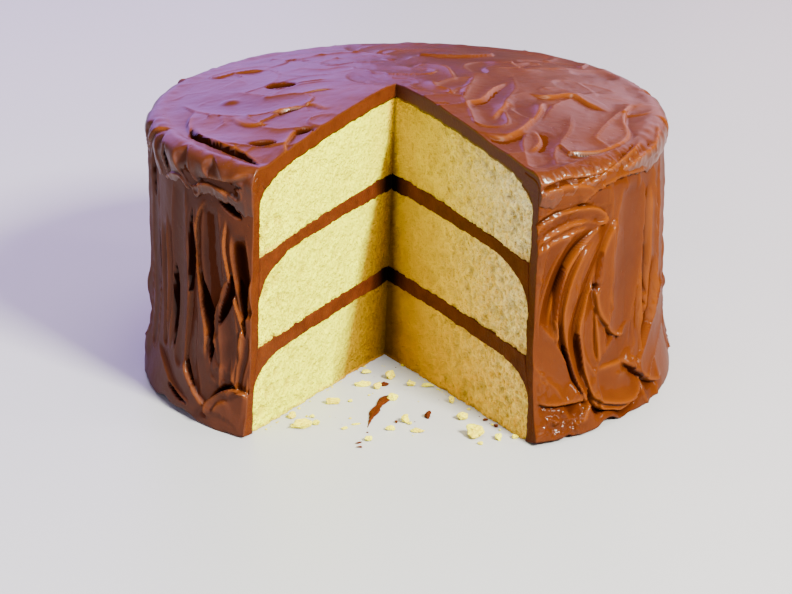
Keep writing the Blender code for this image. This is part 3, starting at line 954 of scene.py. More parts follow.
# The strokes on the front half of the top, in mm from the cake's axis.
TOP_STROKES = (
    Swipe(((-92, 8), (-80, -8), (-66, -18), (-52, -16)), 30, -0.7, 1.2, edge=0.3, seed=501),
    Swipe(((-84, -30), (-76, -48), (-62, -58), (-48, -60)), 24, -0.3, 0.9, edge=0.3, seed=502),
    Swipe(((40, 26), (38, 4), (34, -20), (36, -44)), 22, -0.6, 1.1, edge=0.3, seed=503),
    Swipe(((96, 10), (78, -20), (70, -48), (76, -66)), 28, -0.5, 1.0, edge=0.3, seed=504),
    Swipe(((66, -22), (62, -44), (56, -66), (56, -86)), 18, -0.7, 0.9, edge=0.1, seed=505),
    Fold(((-92, -12), (-94, -30), (-91, -45), (-82, -60), (-70, -71), (-60, -88)),
         0.8, 0.9, 9, 5, 1, 0.5, 0.15, 0.1),
    Gash(((-93, -38), (-91.0, -47), (-87, -54), (-82, -60)), 4.2, 1.8),
    Gash(((-89, -50), (-81.5, -62), (-73.5, -70.6), (-67, -78), (-61, -89)), 3.8, 1.7),
    Gash(((-80, -63), (-72.5, -71.6), (-68, -77)), 3.4, 0.8),
    Fold(((-76, -28), (-72, -38), (-66, -43), (-58, -42)), 0.4, 0.5, 4, 4, 1, 0.2),
    Fold(((-60, -32), (-55, -28), (-50, -25), (-45, -24)), 0.5, 0.6, 3, 3, 1, 0.3),
    Fold(((-46, -20), (-40, -24), (-34, -33)), 0.4, 0.6, 4, 4, 1, 0.2),
    Fold(((-44, -50), (-49, -56), (-52, -69), (-50, -78)), 0.9, 0.8, 3, 3, -1, 0.4),
    Fold(((-106, -24), (-99, -54), (-88, -76)), 0.6, 0.8, 5, 4, 1, 0.3),
    Fold(((60, -14), (57, -30), (51, -47), (46, -57), (40, -62), (33, -59)),
         0.9, 0.8, 3.4, 5, -1, 0.4, 0.1, 0.15),
    Fold(((54, -50), (56, -60), (55, -67), (51, -76)), 0.8, 0.7, 3.0, 5, -1, 0.4),
    Fold(((102, 4), (96, -13), (94, -30), (95, -43), (92, -54), (84, -65), (75, -70), (66, -73)),
         1.2, 1.1, 3.4, 5, -1, 0.5, 0.15, 0.1),
    Gash(((86, -66), (77, -71), (67, -73.5)), 1.8, 1.8),
    Fold(((90, -18), (81, -8), (73, 1), (62, -7), (54, -3)), 0.8, 0.9, 4, 6, -1, 0.3),
    Fold(((46, 15), (38, -2), (33, -17), (27, -24), (26, -32)), 0.8, 0.8, 3.6, 6, -1, 0.4),
    Fold(((45, -18), (41, -29), (36, -43)), 0.6, 0.6, 3, 5, -1, 0.3),
    Fold(((2, 32), (9, 38), (18, 31), (22, 7)), 0.8, 0.8, 4, 6, -1, 0.4),
    Fold(((46, 61), (51, 43), (55, 39), (62, 46)), 0.8, 0.8, 5, 6, -1, 0.4),
    Fold(((51, -99), (62, -93), (71, -82), (86, -66), (96, -56)), 0.9, 1.0, 3.5, 3, -1, 0.5),
    Dab((-56, 11), 4.4, -2.6, 1.3, 2.0),
    Dab((-61, -65), 2.8, -2.3, 1.7, 2.0),
    Dab((-44, -54), 2.2, -2.2, 1.7, 2.0),
    Gash(((-56, -31), (-51, -28.6), (-46, -26)), 3.6, 0.6, 0.7),
    Dab((-78, -60), 9, 0.7, 1.5),
    Dab((-78, -6), 3.5, 1.2),
)
# The top sheet's edge where it laps over the side, by bearing and height.
RIM_STROKES = (
    Dab((-44, 118.5), 5.0, 2.4, 4.0),
    Dab((-62, 118.5), 5.0, 2.4, 4.0),
    Dab((-80, 118.5), 5.0, 2.0, 4.0),
    Swipe(((-80, 118), (-77.4, 111), (-75.4, 103)), 9, -0.9, 1.5, edge=0.9, seed=334),
    Swipe(((-70, 118), (-67, 111), (-64.6, 102)), 9, -0.9, 1.7, edge=0.9, seed=331),
    Swipe(((-58, 118), (-55, 111), (-51, 105)), 10, -1.2, 1.8, edge=1.0, seed=332),
    Swipe(((-48, 117.4), (-44, 112), (-38, 107)), 8, -1.2, 1.6, edge=1.0, seed=333),
    Fold(((-80, 106), (-76, 112), (-73, 118), (-70, 124)), 1.2, 1.6, 3, 3, 1, 0.7),
    Gash(((-64.6, 116), (-63.0, 110), (-62.0, 104)), 4.0, 2.0),
    Gash(((-57, 110), (-53.5, 107.6), (-49.5, 105.6)), 4.2, 2.4),
    Gash(((-50.5, 109.5), (-46, 109.4), (-41, 110), (-36, 111)), 2.4, 2.8),
    Fold(((-54, 102.5), (-50, 106), (-46.5, 107.5), (-43, 106.6), (-40, 104.4)),
         1.4, 1.2, 2.4, 2.5, -1, 0.6, 0.15, 0.2),
    Fold(((-51, 94), (-50, 99), (-47.4, 102.5), (-44.6, 104.6)), 1.0, 1.0, 2.4, 2, 1, 0.5),
    Fold(((-66, 92), (-65, 99), (-61.5, 105), (-57, 106), (-54.6, 103), (-53.6, 96)),
         0.9, 1.0, 3, 2.5, -1, 0.5),
    Fold(((-47, 112), (-42.4, 112.6), (-38.4, 114), (-34, 118)), 1.2, 1.4, 2.6, 2.5, 1, 0.7, 0.1, 0.3),
    Dab((-58.5, 112), 4, 0.8, 1.4),
    Rough((-52, 108), 4.5, 0.8, 2.4, 321),
    Fold(((26, 113), (34, 116), (44, 114.6), (54, 117)), 1.3, 1.4, 3, 3, 1, 0.9),
    Fold(((27, 109), (31, 111), (36, 110.6), (40, 112), (46, 117)), 1.1, 1.2, 3, 2.5, -1, 0.8),
    Fold(((38, 108), (46, 112.6), (56, 116), (66, 119)), 1.4, 1.5, 3, 3, -1, 0.8),
    Fold(((48, 109.6), (58, 113), (68, 114), (80, 119)), 1.1, 1.2, 3, 3, -1, 0.6),
    Rough((33, 113), 5.5, 1.7, 2.4, 317, 2.4),
    Rough((43, 115), 5.0, 1.6, 2.8, 318, 2.3),
    Rough((55, 116), 4.5, 1.4, 3.2, 320, 2.4),
    Rough((66, 112), 4.0, 1.0, 3.0, 322),
    Rough((-38, 110), 4.0, 0.8, 1.6, 319),
)


@dataclass
class StrokeBook:
    """All strokes of the palette knife, in the order in which they were made."""

    seed: int = 20
    spacing: float = 13.0
    fold_spacing: int = 21
    rim_spacing: int = 16
    beside_wedge: Pair = (-185, -60)
    behind: Pair = (-560, -180)
    rings: tuple[tuple[int, int], ...] = ((94, 17), (78, 14), (60, 11), (40, 7), (20, 4))
    first_top_seed: int = 401

    def __post_init__(self) -> None:
        """Starts the random draws."""
        self.draw = np.random.default_rng(self.seed)

    def between(self, low: float, high: float) -> float:
        """A random value between two limits."""
        return float(self.draw.uniform(low, high))

    def drawn(self, **limits: Pair) -> dict[str, float]:
        """A random value for each name between its two limits, drawn in order."""
        return {name: self.between(*pair) for name, pair in limits.items()}

    def either_side(self) -> int:
        """Either -1 or 1."""
        return int(self.draw.choice((-1, 1)))

    def side(self) -> list[Stroke]:
        """The wall's strokes: those all round it, then those beside the wedge."""
        return self._side_swipes() + self._side_folds() + on_side(LEFT_STROKES) + on_side(RIGHT_STROKES)

    def top(self) -> list[Stroke]:
        """The top's strokes: crescents all over it, then those on its front half."""
        return self._top_swipes() + list(TOP_STROKES)

    def rim(self) -> list[Stroke]:
        """The strokes in the top sheet's edge: those beside the wedge, then the folds behind."""
        return on_side(RIM_STROKES) + self._rim_folds()

    def _side_swipes(self) -> list[Stroke]:
        """Long strokes from the rim downwards all round the side, except on the left beside the wedge."""
        strokes: list[Stroke] = []
        for k in range(int(ROUND / self.spacing)):
            x = -ROUND + self.spacing * (k + self.between(-0.3, 0.3))
            top = self.between(92, 118)
            foot = self.between(4, 42)
            drift = self.between(-9, 9)
            sway = self.between(-6, 6)
            middle = 0.5 * (top + foot)
            bend = ((x + 0.25 * drift + sway, middle + 12), (x + 0.7 * drift + sway, middle - 14))
            sizes = self.drawn(width=(14, 24), level=(-1.3, 0.5), bowl=(0.8, 2.0), lean=(-0.7, 0.7))
            sizes |= self.drawn(edge=(0.2, 0.9), streaks=(0.005, 0.03))
            strokes.append(Swipe(((x, top), *bend, (x + drift, foot)), **sizes, touchdown=0.15, seed=k))
        self.draw.shuffle(strokes)
        first, last = self.beside_wedge
        return [stroke for stroke in strokes if not first < stroke.marks[0][0] < last]

    def _side_folds(self) -> list[Stroke]:
        """Lips down the side between those strokes."""
        strokes: list[Stroke] = []
        first, last = self.beside_wedge
        for k in range(int(ROUND / self.fold_spacing)):
            x = -ROUND + self.fold_spacing * (k + self.between(-0.35, 0.35))
            top = self.between(62, 100)
            foot = top - self.between(28, 62)
            bend = self.between(-6, 6)
            if first < x < last:
                continue
            steps = ((0, 1, 0), (0.4, 0.6, 0.4), (1, 0.25, 0.75), (0.6, 0, 1))
            marks = tuple((x + part * bend, upper * top + lower * foot) for part, upper, lower in steps)
            sizes = self.drawn(rise=(0.8, 2.0), drop=(0.6, 2.0), reach=(3, 7), recover=(2.5, 6))
            strokes.append(Fold(marks, **sizes, side=self.either_side(), overhang=self.between(0.3, 1.0)))
        return strokes

    def _top_swipes(self) -> list[Stroke]:
        """Crescents in rings all over the top, the outer ring first."""
        strokes: list[Stroke] = []
        for ring, count in self.rings:
            for k in range(count):
                bearing = 2 * math.pi * (k + self.between(0, 0.7)) / count
                middle = ring * np.array((math.cos(bearing), math.sin(bearing)))
                radius = self.between(12, 24)
                start = self.between(0, 2 * math.pi)
                turn = start + np.linspace(0, math.radians(self.between(80, 150)), 5)
                arc = middle + radius * np.stack((np.cos(turn), np.sin(turn)), -1)
                sizes = self.drawn(width=(12, 22), level=(-0.7, 0.3), bowl=(0.3, 1.0), lean=(-0.4, 0.4))
                sizes |= self.drawn(edge=(0.0, 0.35), streaks=(0.005, 0.03))
                seed = self.first_top_seed + len(strokes)
                strokes.append(Swipe(tuple(map(tuple, arc)), **sizes, touchdown=0.35, seed=seed))
        return strokes

    def _rim_folds(self) -> list[Stroke]:
        """Folds in the sheet's edge round the back."""
        lips: list[Stroke] = []
        first, last = self.behind
        for k in range(int(ROUND / self.rim_spacing)):
            x = -ROUND + self.rim_spacing * (k + self.between(-0.4, 0.4))
            slant = self.between(-16, 16)
            low = self.between(96, 108)
            if not first < x < last:
                continue
            marks = ((x, low), (x + 0.4 * slant, low + 6), (x + slant, self.between(114, 124)))
            sizes = self.drawn(rise=(0.5, 1.4), drop=(0.5, 1.4), reach=(2.5, 5))
            lips.append(Fold(marks, **sizes, recover=3, side=self.either_side(), overhang=0.4))
        return lips


# ---------------------------------------------------------------------------------------------
# The coat


class Section:
    """The coat's outer outline from the foot of the wall over the rim to the axis, by distance along it."""

    SAMPLES = 240

    def __init__(self, plan: Plan) -> None:
        """Samples wall, rim and top: the wall flares as an exponential, the rim is a quarter ellipse.

        Args:
            plan: The cake's plan.
        """
        flat = plan.coat_radius - plan.rim.width
        self.shoulder_height = float(plan.coat_top.at(plan.coat_radius)) - plan.rim.drop
        wall = np.linspace(0, self.shoulder_height, self.SAMPLES)
        wall_radius = plan.coat_radius + plan.flare * np.exp(-((wall / plan.flare_height) ** 1.5))
        turn = np.linspace(0, 0.5 * math.pi, self.SAMPLES)[1:]
        rim_radius = flat + plan.rim.width * np.cos(turn)
        rim = plan.coat_top.at(rim_radius) - plan.rim.drop * (1 - np.sin(turn))
        top_radius = np.linspace(flat, 0, self.SAMPLES)[1:]
        self.radius = np.concatenate((wall_radius, rim_radius, top_radius))
        self.height = np.concatenate((wall, rim, plan.coat_top.at(top_radius)))
        steps = np.hypot(np.diff(rim_radius, prepend=wall_radius[-1]), np.diff(rim, prepend=wall[-1]))
        rim_place = self.shoulder_height + np.cumsum(steps)
        self.flat_place = float(rim_place[-1])
        self.flat_radius = flat
        self.place = np.concatenate((wall, rim_place, self.flat_place + flat - top_radius))
        slope_radius = np.gradient(self.radius, self.place)
        slope_height = np.gradient(self.height, self.place)
        length = np.hypot(slope_radius, slope_height)
        self.out = slope_height / length
        self.up = -slope_radius / length

    def at(self, place: Array) -> tuple[Array, Array, Array, Array]:
        """Radius, height and the outward normal's two parts at a place along the outline."""
        outline = (self.radius, self.height, self.out, self.up)
        return tuple(np.interp(place, self.place, held) for held in outline)


@dataclass
class Coat:
    """What the two pieces of the coat share: plan, outline, strokes and the steps of their grids."""

    # How deep in mm full painted shade counts as, and a depth that no face without painted shade falls to.
    SHADE_DEPTH: ClassVar[float] = 3.3
    IN_LIGHT: ClassVar[float] = 9.0
    LEAST_SHADE: ClassVar[float] = -0.02
    # The radius within which nothing turns about the axis.
    STILL: ClassVar[float] = 0.021

    plan: Plan
    section: Section
    book: StrokeBook
    columns: int = 600
    hidden_columns: int = 24
    crowding: float = 0.55
    cap_rows: int = 9
    anchored: float = 2.5 * MM

    @property
    def step(self) -> int:
        """How many of the skin's columns one hidden column spans."""
        return self.columns // self.hidden_columns

    def place_skin(self, turn: Array, place: Array, lift: Array, shift: Array) -> Array:
        """Points of the skin: the outline's point, moved along its normal by lift and sideways by shift.

        Args:
            turn: Direction of each column.
            place: Place along the outline, metres.
            lift: How far the skin stands off the outline, metres.
            shift: Sideways moves in mm, to the right and up the outline.

        Returns:
            The skin's points.
        """
        radius, height, out, up = self.section.at(place + shift[..., 1] * MM)
        points = self.plan.on_ray(turn, radius + out * lift, height + up * lift)
        reach = np.maximum(self.plan.radius_of(points), self.STILL)
        angle = np.where(reach > self.STILL, shift[..., 0] * MM / reach, 0)
        centre = np.array(self.plan.axis)
        offset = points[..., :2] - centre
        return np.concatenate((centre + turned(offset, angle), points[..., 2:]), -1)

    def values(self, strokes: Sheet, crest: Array, relief: Array) -> Values:
        """What the finishes read off the skin.

        Args:
            strokes: The sheet whose streaks the skin shows.
            crest: How much painted highlight or, below 0, painted shade each point gets.
            relief: How far each point stands off the outline, metres.

        Returns:
            The named values. A place with painted shade counts as a deep one in the relief.
        """
        shape = crest.shape
        # Painted shade is folded into the relief, so that the material darkens it and gives it the matt
        # finish.
        shaded = self.SHADE_DEPTH * np.minimum(crest, 0) + self.IN_LIGHT * (crest > self.LEAST_SHADE)
        return {
            "crest": np.maximum(crest, 0),
            "streak": np.concatenate((strokes.streak.reshape(*shape, 2), np.zeros((*shape, 1))), -1) * MM,
            "relief": np.minimum(relief / MM, shaded),
        }

    def near_cut(self, turn: Array, radius: Array) -> Array:
        """0 at the cut faces, rising to 1 a few mm away from them, so that nothing slides off them."""
        span = np.minimum(turn - turn.min(), turn.max() - turn)
        return smooth_step(span * radius / self.anchored)

    def smear_edge(self, inner: Array, seed: int, down: float) -> Array:
        """Moves the inner wall's two cut edges over the sponge by ragged amounts, as the knife smeared them.

        Args:
            inner: The inner wall's points, rows by hidden columns.
            seed: Which noise to draw.
            down: How much of the move goes downwards for each part that goes towards the apex.

        Returns:
            The inner wall's points.
        """
        moved = inner.copy()
        for column in (0, -1):
            edge = inner[:, column]
            size = 0.0003 + 0.0006 * noise(edge, 0.0052, seed) + 0.0005 * noise(edge, 0.0019, seed + 1)
            size = np.clip(size, -0.0001, 0.0018)[:, None]
            apex = np.concatenate((np.array(self.plan.axis) + self.plan.apex_at(edge[:, 2]), edge[:, 2:]), -1)
            inward = apex - edge
            inward /= np.maximum(np.linalg.norm(inward, axis=1), 1e-6)[:, None]
            moved[:, column] += size * (inward * (1 - down) + np.array((0, 0, -down)))
        return moved

    def close(self, name: str, skin: Array, inner: Array, values: Values) -> Object:
        """Closes a piece: skin, an inner wall of few columns, two cut faces, and strips at top and bottom.

        Args:
            name: The piece's name.
            skin: The skin's points, rows by columns.
            inner: The inner wall's points, the same rows by the hidden columns.
            values: Values for the skin's points.

        Returns:
            The piece.
        """
        cloth = Patchwork()
        skin_ids = cloth.add(skin, **values)
        inner_ids = cloth.add(inner[:, ::-1])[:, ::-1]
        part = np.linspace(0, 1, self.cap_rows)[None, :, None]
        for column in (0, -1):
            cap = skin[:, column][:, None] * (1 - part) + inner[:, column][:, None] * part
            cloth.add(cap, cut=np.ones(cap.shape[:2]))
        for row in (0, -1):
            cloth.bridge(skin_ids[row], inner_ids[row])
        return cloth.build(name)


@dataclass
class FrostingSide:
    """The coat's wall, which runs up under the edge of the top sheet."""

    coat: Coat
    rows: int = 150
    top_place: float = 0.127
    shoulder_place: float = 0.100
    shoulder_turn: float = math.radians(55)
    tuck_place: float = 0.113
    tuck_run: float = 0.010
    still_foot: float = 0.004
    lifted_run: float = 0.010
    sink: float = 0.0022
    deepest_mm: float = 4.2
    lifts: tuple[Colour, ...] = ((-53, 7, 2.4), (-63, 5, 1.2), (47, 6, 1.8), (36, 4, 0.9))

    def inner_wall(self, place: Array) -> tuple[Array, Array]:
        """The wall's inner outline: up the sponges, in to the upper ones, and over the top shoulder.

        Args:
            place: Places along the outline.

        Returns:
            Radius and height for each of them.
        """
        plan = self.coat.plan
        shoulder = plan.upper_shoulder
        foot = float(plan.upper_top.at(plan.sponge_radius)) - shoulder.drop
        radius = np.interp(place, (0.020, 0.038), (plan.base_radius, plan.sponge_radius))
        run = self.top_place - self.shoulder_place
        turn = np.clip((place - self.shoulder_place) / run, 0, 1) * self.shoulder_turn
        round_radius = plan.sponge_radius - shoulder.width * (1 - np.cos(turn))
        round_height = foot + shoulder.drop * np.sin(turn) + 0.0006 * turn
        below = np.interp(place, (0, self.shoulder_place), (0, foot))
        over = place > self.shoulder_place
        return np.where(over, round_radius, radius), np.where(over, round_height, below)

    def build(self) -> Object:
        """Makes the wall: outline plus relief, with the lips slid sideways over the grooves."""
        coat = self.coat
        turn = coat.plan.turns(coat.columns, coat.crowding)
        place = np.linspace(0, self.top_place, self.rows + 1)
        turns, places = np.meshgrid(turn, place)
        shape = turns.shape
        radius, height, _, _ = coat.section.at(places)
        across = coat.plan.unrolled(coat.plan.on_ray(turns, radius, height))
        sheet = Sheet(np.stack((across, places / MM), -1).reshape(-1, 2))
        sheet.press(coat.book.side(), (Wave(0.5, 34, 3), Wave(0.25, 9, 4)), 6)
        relief = np.clip(sheet.height.reshape(shape), -self.deepest_mm, self.deepest_mm) * MM
        # Nothing moves sideways at the cuts, at the floor or under the top sheet, where the wall sinks in.
        under = smooth_step((places - self.tuck_place) / self.tuck_run)
        free = coat.near_cut(turns, radius) * smooth_step(places / self.still_foot) * (1 - under)
        lift = relief * (1 - 0.7 * under) - self.sink * under
        skin = coat.place_skin(turns, places, lift, sheet.shift.reshape(*shape, 2) * free[..., None])
        skin[..., 2] += self.lifted_foot(across, places)
        values = coat.values(sheet, sheet.crest.reshape(shape) * (1 - under), relief)
        inner_radius, inner_height = self.inner_wall(place)
        inner = coat.plan.on_ray(turn[:: coat.step][None, :], inner_radius[:, None], inner_height[:, None])
        return coat.close("frosting_side", skin, coat.smear_edge(inner, 51, 0.0), values)

    def lifted_foot(self, across: Array, place: Array) -> Array:
        """How far the coat's lower edge stands off the floor: more in some stretches than others.

        Args:
            across: Places round the unrolled side, mm.
            place: Places along the outline, metres.

        Returns:
            The lift of each point, metres, which fades out a little way up.
        """
        stretch = np.stack((across, np.zeros_like(across)), -1)
        gap = np.clip(noise(stretch, 17, 61) - 0.15, 0, 1) * 2.6 + np.clip(noise(stretch, 5, 62), 0, 1) * 0.9
        for degrees, width, height in self.lifts:
            middle = round_side(degrees, 0)[0]
            gap = gap + height * np.exp(-(((across - middle) / width) ** 4))
        return gap * MM * (1 - smooth_step(place / self.lifted_run))


@dataclass
class FrostingTop:
    """The sheet of frosting on the top, whose ragged edge laps over the rim onto the wall."""

    # Where the sheet ends on the wall beside the wedge, by bearing in degrees and height in mm.
    EDGE_MARKS: ClassVar[tuple[Pair, ...]] = (
        (-33, 99), (-36, 98.5), (-39, 100.5), (-42, 103), (-46, 104), (-51, 101),
        (-56, 104), (-62, 103), (-66, 99), (-71, 102), (-75, 108), (-80, 104),
        (27, 106), (30, 102.5), (34, 104.5), (38, 103), (41, 104),
        (45, 107.5), (53, 109), (61, 106.5), (68, 103), (78, 106),
    )

    coat: Coat
    rows: int = 148
    edge: float = 0.104
    ragged_part: float = 0.10
    front_reach_mm: float = 150
    lap: float = 0.0018
    lap_run: float = 0.012
    rim_run: float = 0.014
    relief_mm: Pair = (-4.6, 3.2)
    apex_run: float = 0.12
    edge_depth: float = 0.0026
    wall_depth: float = 0.0050

    def edge_place(self, across: Array) -> tuple[Array, Array]:
        """Where the sheet ends on the wall.

        Args:
            across: Places along the unrolled side, in mm.

        Returns:
            The even line, through marks in front and waves behind, and how far the ragged edge lies off it.
        """
        marks = np.array(sorted(round_side(*mark) for mark in self.EDGE_MARKS))
        line = np.stack((across, np.zeros_like(across)), -1)
        wide = 4.5 * noise(line, 23, 71) + 2.5 * noise(line, 9, 72)
        ragged = 1.3 * noise(line, 3.5, 73) + 0.6 * noise(line, 1.6, 74)
        drawn = np.interp(across, marks[:, 0], marks[:, 1])
        behind = smooth_step((np.minimum(-across, across + ROUND) - self.front_reach_mm) / 30)
        return (drawn + behind * (self.edge / MM + wide - drawn)) * MM, ragged * MM

    def build(self) -> Object:
        """Makes the sheet: outline plus relief, thinning to its edge, with its underside in the wall."""
        coat, plan, section = self.coat, self.coat.plan, self.coat.section
        turn = plan.turns(coat.columns, coat.crowding)
        # The rows crowd towards the rim. Only the first few of them follow the ragged edge.
        even = np.linspace(0, 1, self.rows + 1)
        part = 0.62 * even + 0.38 * even**2
        rim_points = plan.on_ray(turn, section.flat_radius, plan.cake_height)
        line, ragged = self.edge_place(plan.unrolled(rim_points))
        places = line + part[:, None] * (float(section.place[-1]) - line)
        places += ragged * (1 - smooth_step(part / self.ragged_part))[:, None]
        turns = np.broadcast_to(turn, places.shape)
        # Past the rim each point lies a part of the way from the flat's edge to the wedge's apex.
        inward = np.clip((places - section.flat_place) / (section.place[-1] - section.flat_place), 0, 1)
        level = self._level(turns, places, inward)
        top = self._top_strokes(level, places)
        rim = Sheet(np.stack((plan.unrolled(level), places / MM), -1).reshape(-1, 2))
        rim.press(coat.book.rim(), (Wave(0.5, 11, 12), Wave(0.35, 4, 13)))
        skin, values = self._skin(turns, places, level, inward, top, rim)
        hidden = np.s_[:, :: coat.step]
        inner = self._underside(turns[hidden], places[hidden], level[hidden])
        return coat.close("frosting_top", skin, coat.smear_edge(inner, 53, 1.0), values)

    def _level(self, turns: Array, places: Array, inward: Array) -> Array:
        """The outline's points, before any relief.

        Args:
            turns: Direction of each point.
            places: Place of each point along the outline.
            inward: The part of the way from the flat's edge to the apex.

        Returns:
            The points.
        """
        plan, section = self.coat.plan, self.coat.section
        radius, height, _, _ = section.at(places)
        flat_radius = np.full(places.shape, section.flat_radius)
        guess = self._flat(turns, inward)
        on_top = plan.along_ray(turns, 1 - inward, flat_radius, plan.coat_top.at(plan.radius_of(guess)))
        outer = places <= section.flat_place
        return np.where(outer[..., None], plan.on_ray(turns, radius, height), on_top)

    def _top_strokes(self, level: Array, places: Array) -> Sheet:
        """Presses the strokes of the top, whose sheet runs on a little past the rim.

        Args:
            level: The outline's points.
            places: Their places along the outline.

        Returns:
            The sheet, in mm from the cake's axis.
        """
        flat_place = self.coat.section.flat_place
        offset = (level[..., :2] - np.array(self.coat.plan.axis)) / MM
        beyond = np.where(places <= flat_place, (flat_place - places), 0)
        stretch = 1 + beyond / MM * 0.6 / np.maximum(np.linalg.norm(offset, axis=-1), 1)
        top = Sheet((offset * stretch[..., None]).reshape(-1, 2))
        top.press(self.coat.book.top(), (Wave(0.4, 30, 8), Wave(0.2, 8, 9)), 10)
        return top

    def _skin(
        self, turns: Array, places: Array, level: Array, inward: Array, top: Sheet, rim: Sheet
    ) -> tuple[Array, Values]:
        """The sheet's skin: the rim's strokes up to the flat's edge, then the top's.

        Args:
            turns: Direction of each point.
            places: Place of each point along the outline.
            level: The outline's points.
            inward: The part of the way from the flat's edge to the apex.
            top: The pressed sheet of the top.
            rim: The pressed sheet of the rim.

        Returns:
            The skin's points and the values that they hold.
        """
        coat, shape = self.coat, places.shape
        flat_place = coat.section.flat_place
        topness = smooth_step((places - (flat_place - 0.5 * self.rim_run)) / self.rim_run)
        rim_height, top_height = rim.height.reshape(shape), top.height.reshape(shape)
        relief = np.clip(rim_height + topness * (top_height - rim_height), *self.relief_mm) * MM
        from_edge = places - places[0][None, :]
        thickness = self.lap * np.sqrt(np.clip(from_edge / self.lap_run, 0.02, 1)) - 0.0004
        rounding = -0.0006 * np.exp(-(from_edge / 0.0007))
        lift = relief * (0.75 + 0.25 * topness) + thickness * (1 - topness) + rounding
        free = coat.near_cut(turns, np.maximum(coat.plan.radius_of(self._flat(turns, inward)), 0.01))
        free = free * smooth_step((1 - inward) / self.apex_run)
        slide = rim.shift.reshape(*shape, 2) * (free * (1 - topness))[..., None]
        wall_skin = coat.place_skin(turns, places, lift, slide)
        # The outline's normal already leans inwards at the flat's edge, so the two meet without a step.
        top_skin = level.copy()
        top_skin[..., :2] += top.shift.reshape(*shape, 2) * (free * topness)[..., None] * MM
        top_skin[..., 2] += lift
        skin = np.where((places <= flat_place)[..., None], wall_skin, top_skin)
        crest = np.where(topness > 0.5, top.crest.reshape(shape), rim.crest.reshape(shape))
        return skin, coat.values(top, crest, relief)

    def _flat(self, turns: Array, inward: Array) -> Array:
        """Points on a level disc, a part of the way from the flat's edge to the apex."""
        plan, section = self.coat.plan, self.coat.section
        height = float(plan.coat_top.at(section.flat_radius))
        return plan.along_ray(turns, 1 - inward, np.array(section.flat_radius), np.array(height))

    def _underside(self, turns: Array, places: Array, level: Array) -> Array:
        """The sheet's underside: on the upper sponge where it is flat, and inside the wall past the rim.

        Args:
            turns: Direction of each point.
            places: Place of each point along the outline.
            level: The outline's points.

        Returns:
            The underside's points.
        """
        plan, section = self.coat.plan, self.coat.section
        radius, height, out, up = section.at(places)
        top_radius = plan.radius_of(level)
        sponge_fall = plan.upper_shoulder.fall(top_radius, plan.sponge_radius)
        under_top = level.copy()
        under_top[..., 2] = plan.upper_top.at(top_radius) - sponge_fall
        past_edge = smooth_step((places - (self.edge + 0.004)) / self.rim_run)
        depth = self.edge_depth + self.wall_depth * past_edge
        under_wall = plan.on_ray(turns, radius - out * depth, height - up * depth)
        blend = smooth_step((places - section.flat_place + 0.004) / 0.010)[..., None]
        return under_wall + blend * (under_top - under_wall)


# ---------------------------------------------------------------------------------------------
# Layers and fillings


@dataclass(frozen=True)
class Slab:
    """The section of a layer or filling: its upper and lower face and its outer radius at both."""

    name: str
    upper: Crown
    lower: Crown
    top_radius: float
    foot_radius: float
    top_shoulder: Shoulder | None = None
    lower_shoulder: Shoulder | None = None
    lower_outer: float = 0.0

    def top(self, radius: Array) -> Array:
        """Height of the upper face: the crown, less the shoulder's drop."""
        drop = self.top_shoulder.fall(radius, self.top_radius) if self.top_shoulder else 0
        return self.upper.at(radius) - drop

    def bottom(self, radius: Array) -> Array:
        """Height of the lower face, which in a filling follows the shoulder of the layer below."""
        drop = self.lower_shoulder.fall(radius, self.lower_outer) if self.lower_shoulder else 0
        return self.lower.at(radius) - drop


@dataclass
class CutSlab:
    """A layer or a filling as a closed piece whose two cut faces are fine grids."""

    plan: Plan
    slab: Slab
    across: int
    up: int
    around: int = 28

    def at(self, turn: Array, part: Array, rise: Array) -> Array:
        """Point inside the slab: a part of the way out from the apex, and a part of the way up.

        Args:
            turn: Direction of the ray from the apex.
            part: 0 at the apex to 1 at the outer face.
            rise: 0 on the lower face to 1 on the upper one.

        Returns:
            The points.
        """
        slab = self.slab
        turn, part, rise = np.broadcast_arrays(turn, part, rise)
        rim = slab.foot_radius + (slab.top_radius - slab.foot_radius) * rise
        guess = np.full(rim.shape, 0.5 * (slab.upper.height + slab.lower.height))
        points = self.plan.along_ray(turn, part, rim, guess)
        for _ in range(2):
            radius = self.plan.radius_of(points)
            low = slab.bottom(np.minimum(radius, slab.foot_radius + 1))
            high = slab.top(np.minimum(radius, slab.top_radius))
            points = self.plan.along_ray(turn, part, rim, low + rise * (high - low))
        return points

    def build(self) -> Object:
        """Makes the piece from its two cut faces, its outer face, its top and its bottom."""
        turn = self.plan.turns(self.around, 0.0)
        even = np.linspace(0, 1, self.across + 1)
        part = np.sin(0.5 * math.pi * even) * 0.35 + even * 0.65
        rise = np.linspace(0, 1, self.up + 1)
        cloth = Patchwork()
        sides, ups = np.meshgrid(part, rise)
        cloth.add(self.at(turn[0], sides, ups), cut=np.ones(sides.shape))
        cloth.add(self.at(turn[-1], sides, ups)[:, ::-1], cut=np.ones(sides.shape))
        turns, ups = np.meshgrid(turn, rise)
        cloth.add(self.at(turns, 1.0, ups))
        turns, sides = np.meshgrid(turn, part)
        cloth.add(self.at(turns, sides, 0.0))
        cloth.add(self.at(turns, sides, 1.0))
        return cloth.build(self.slab.name)


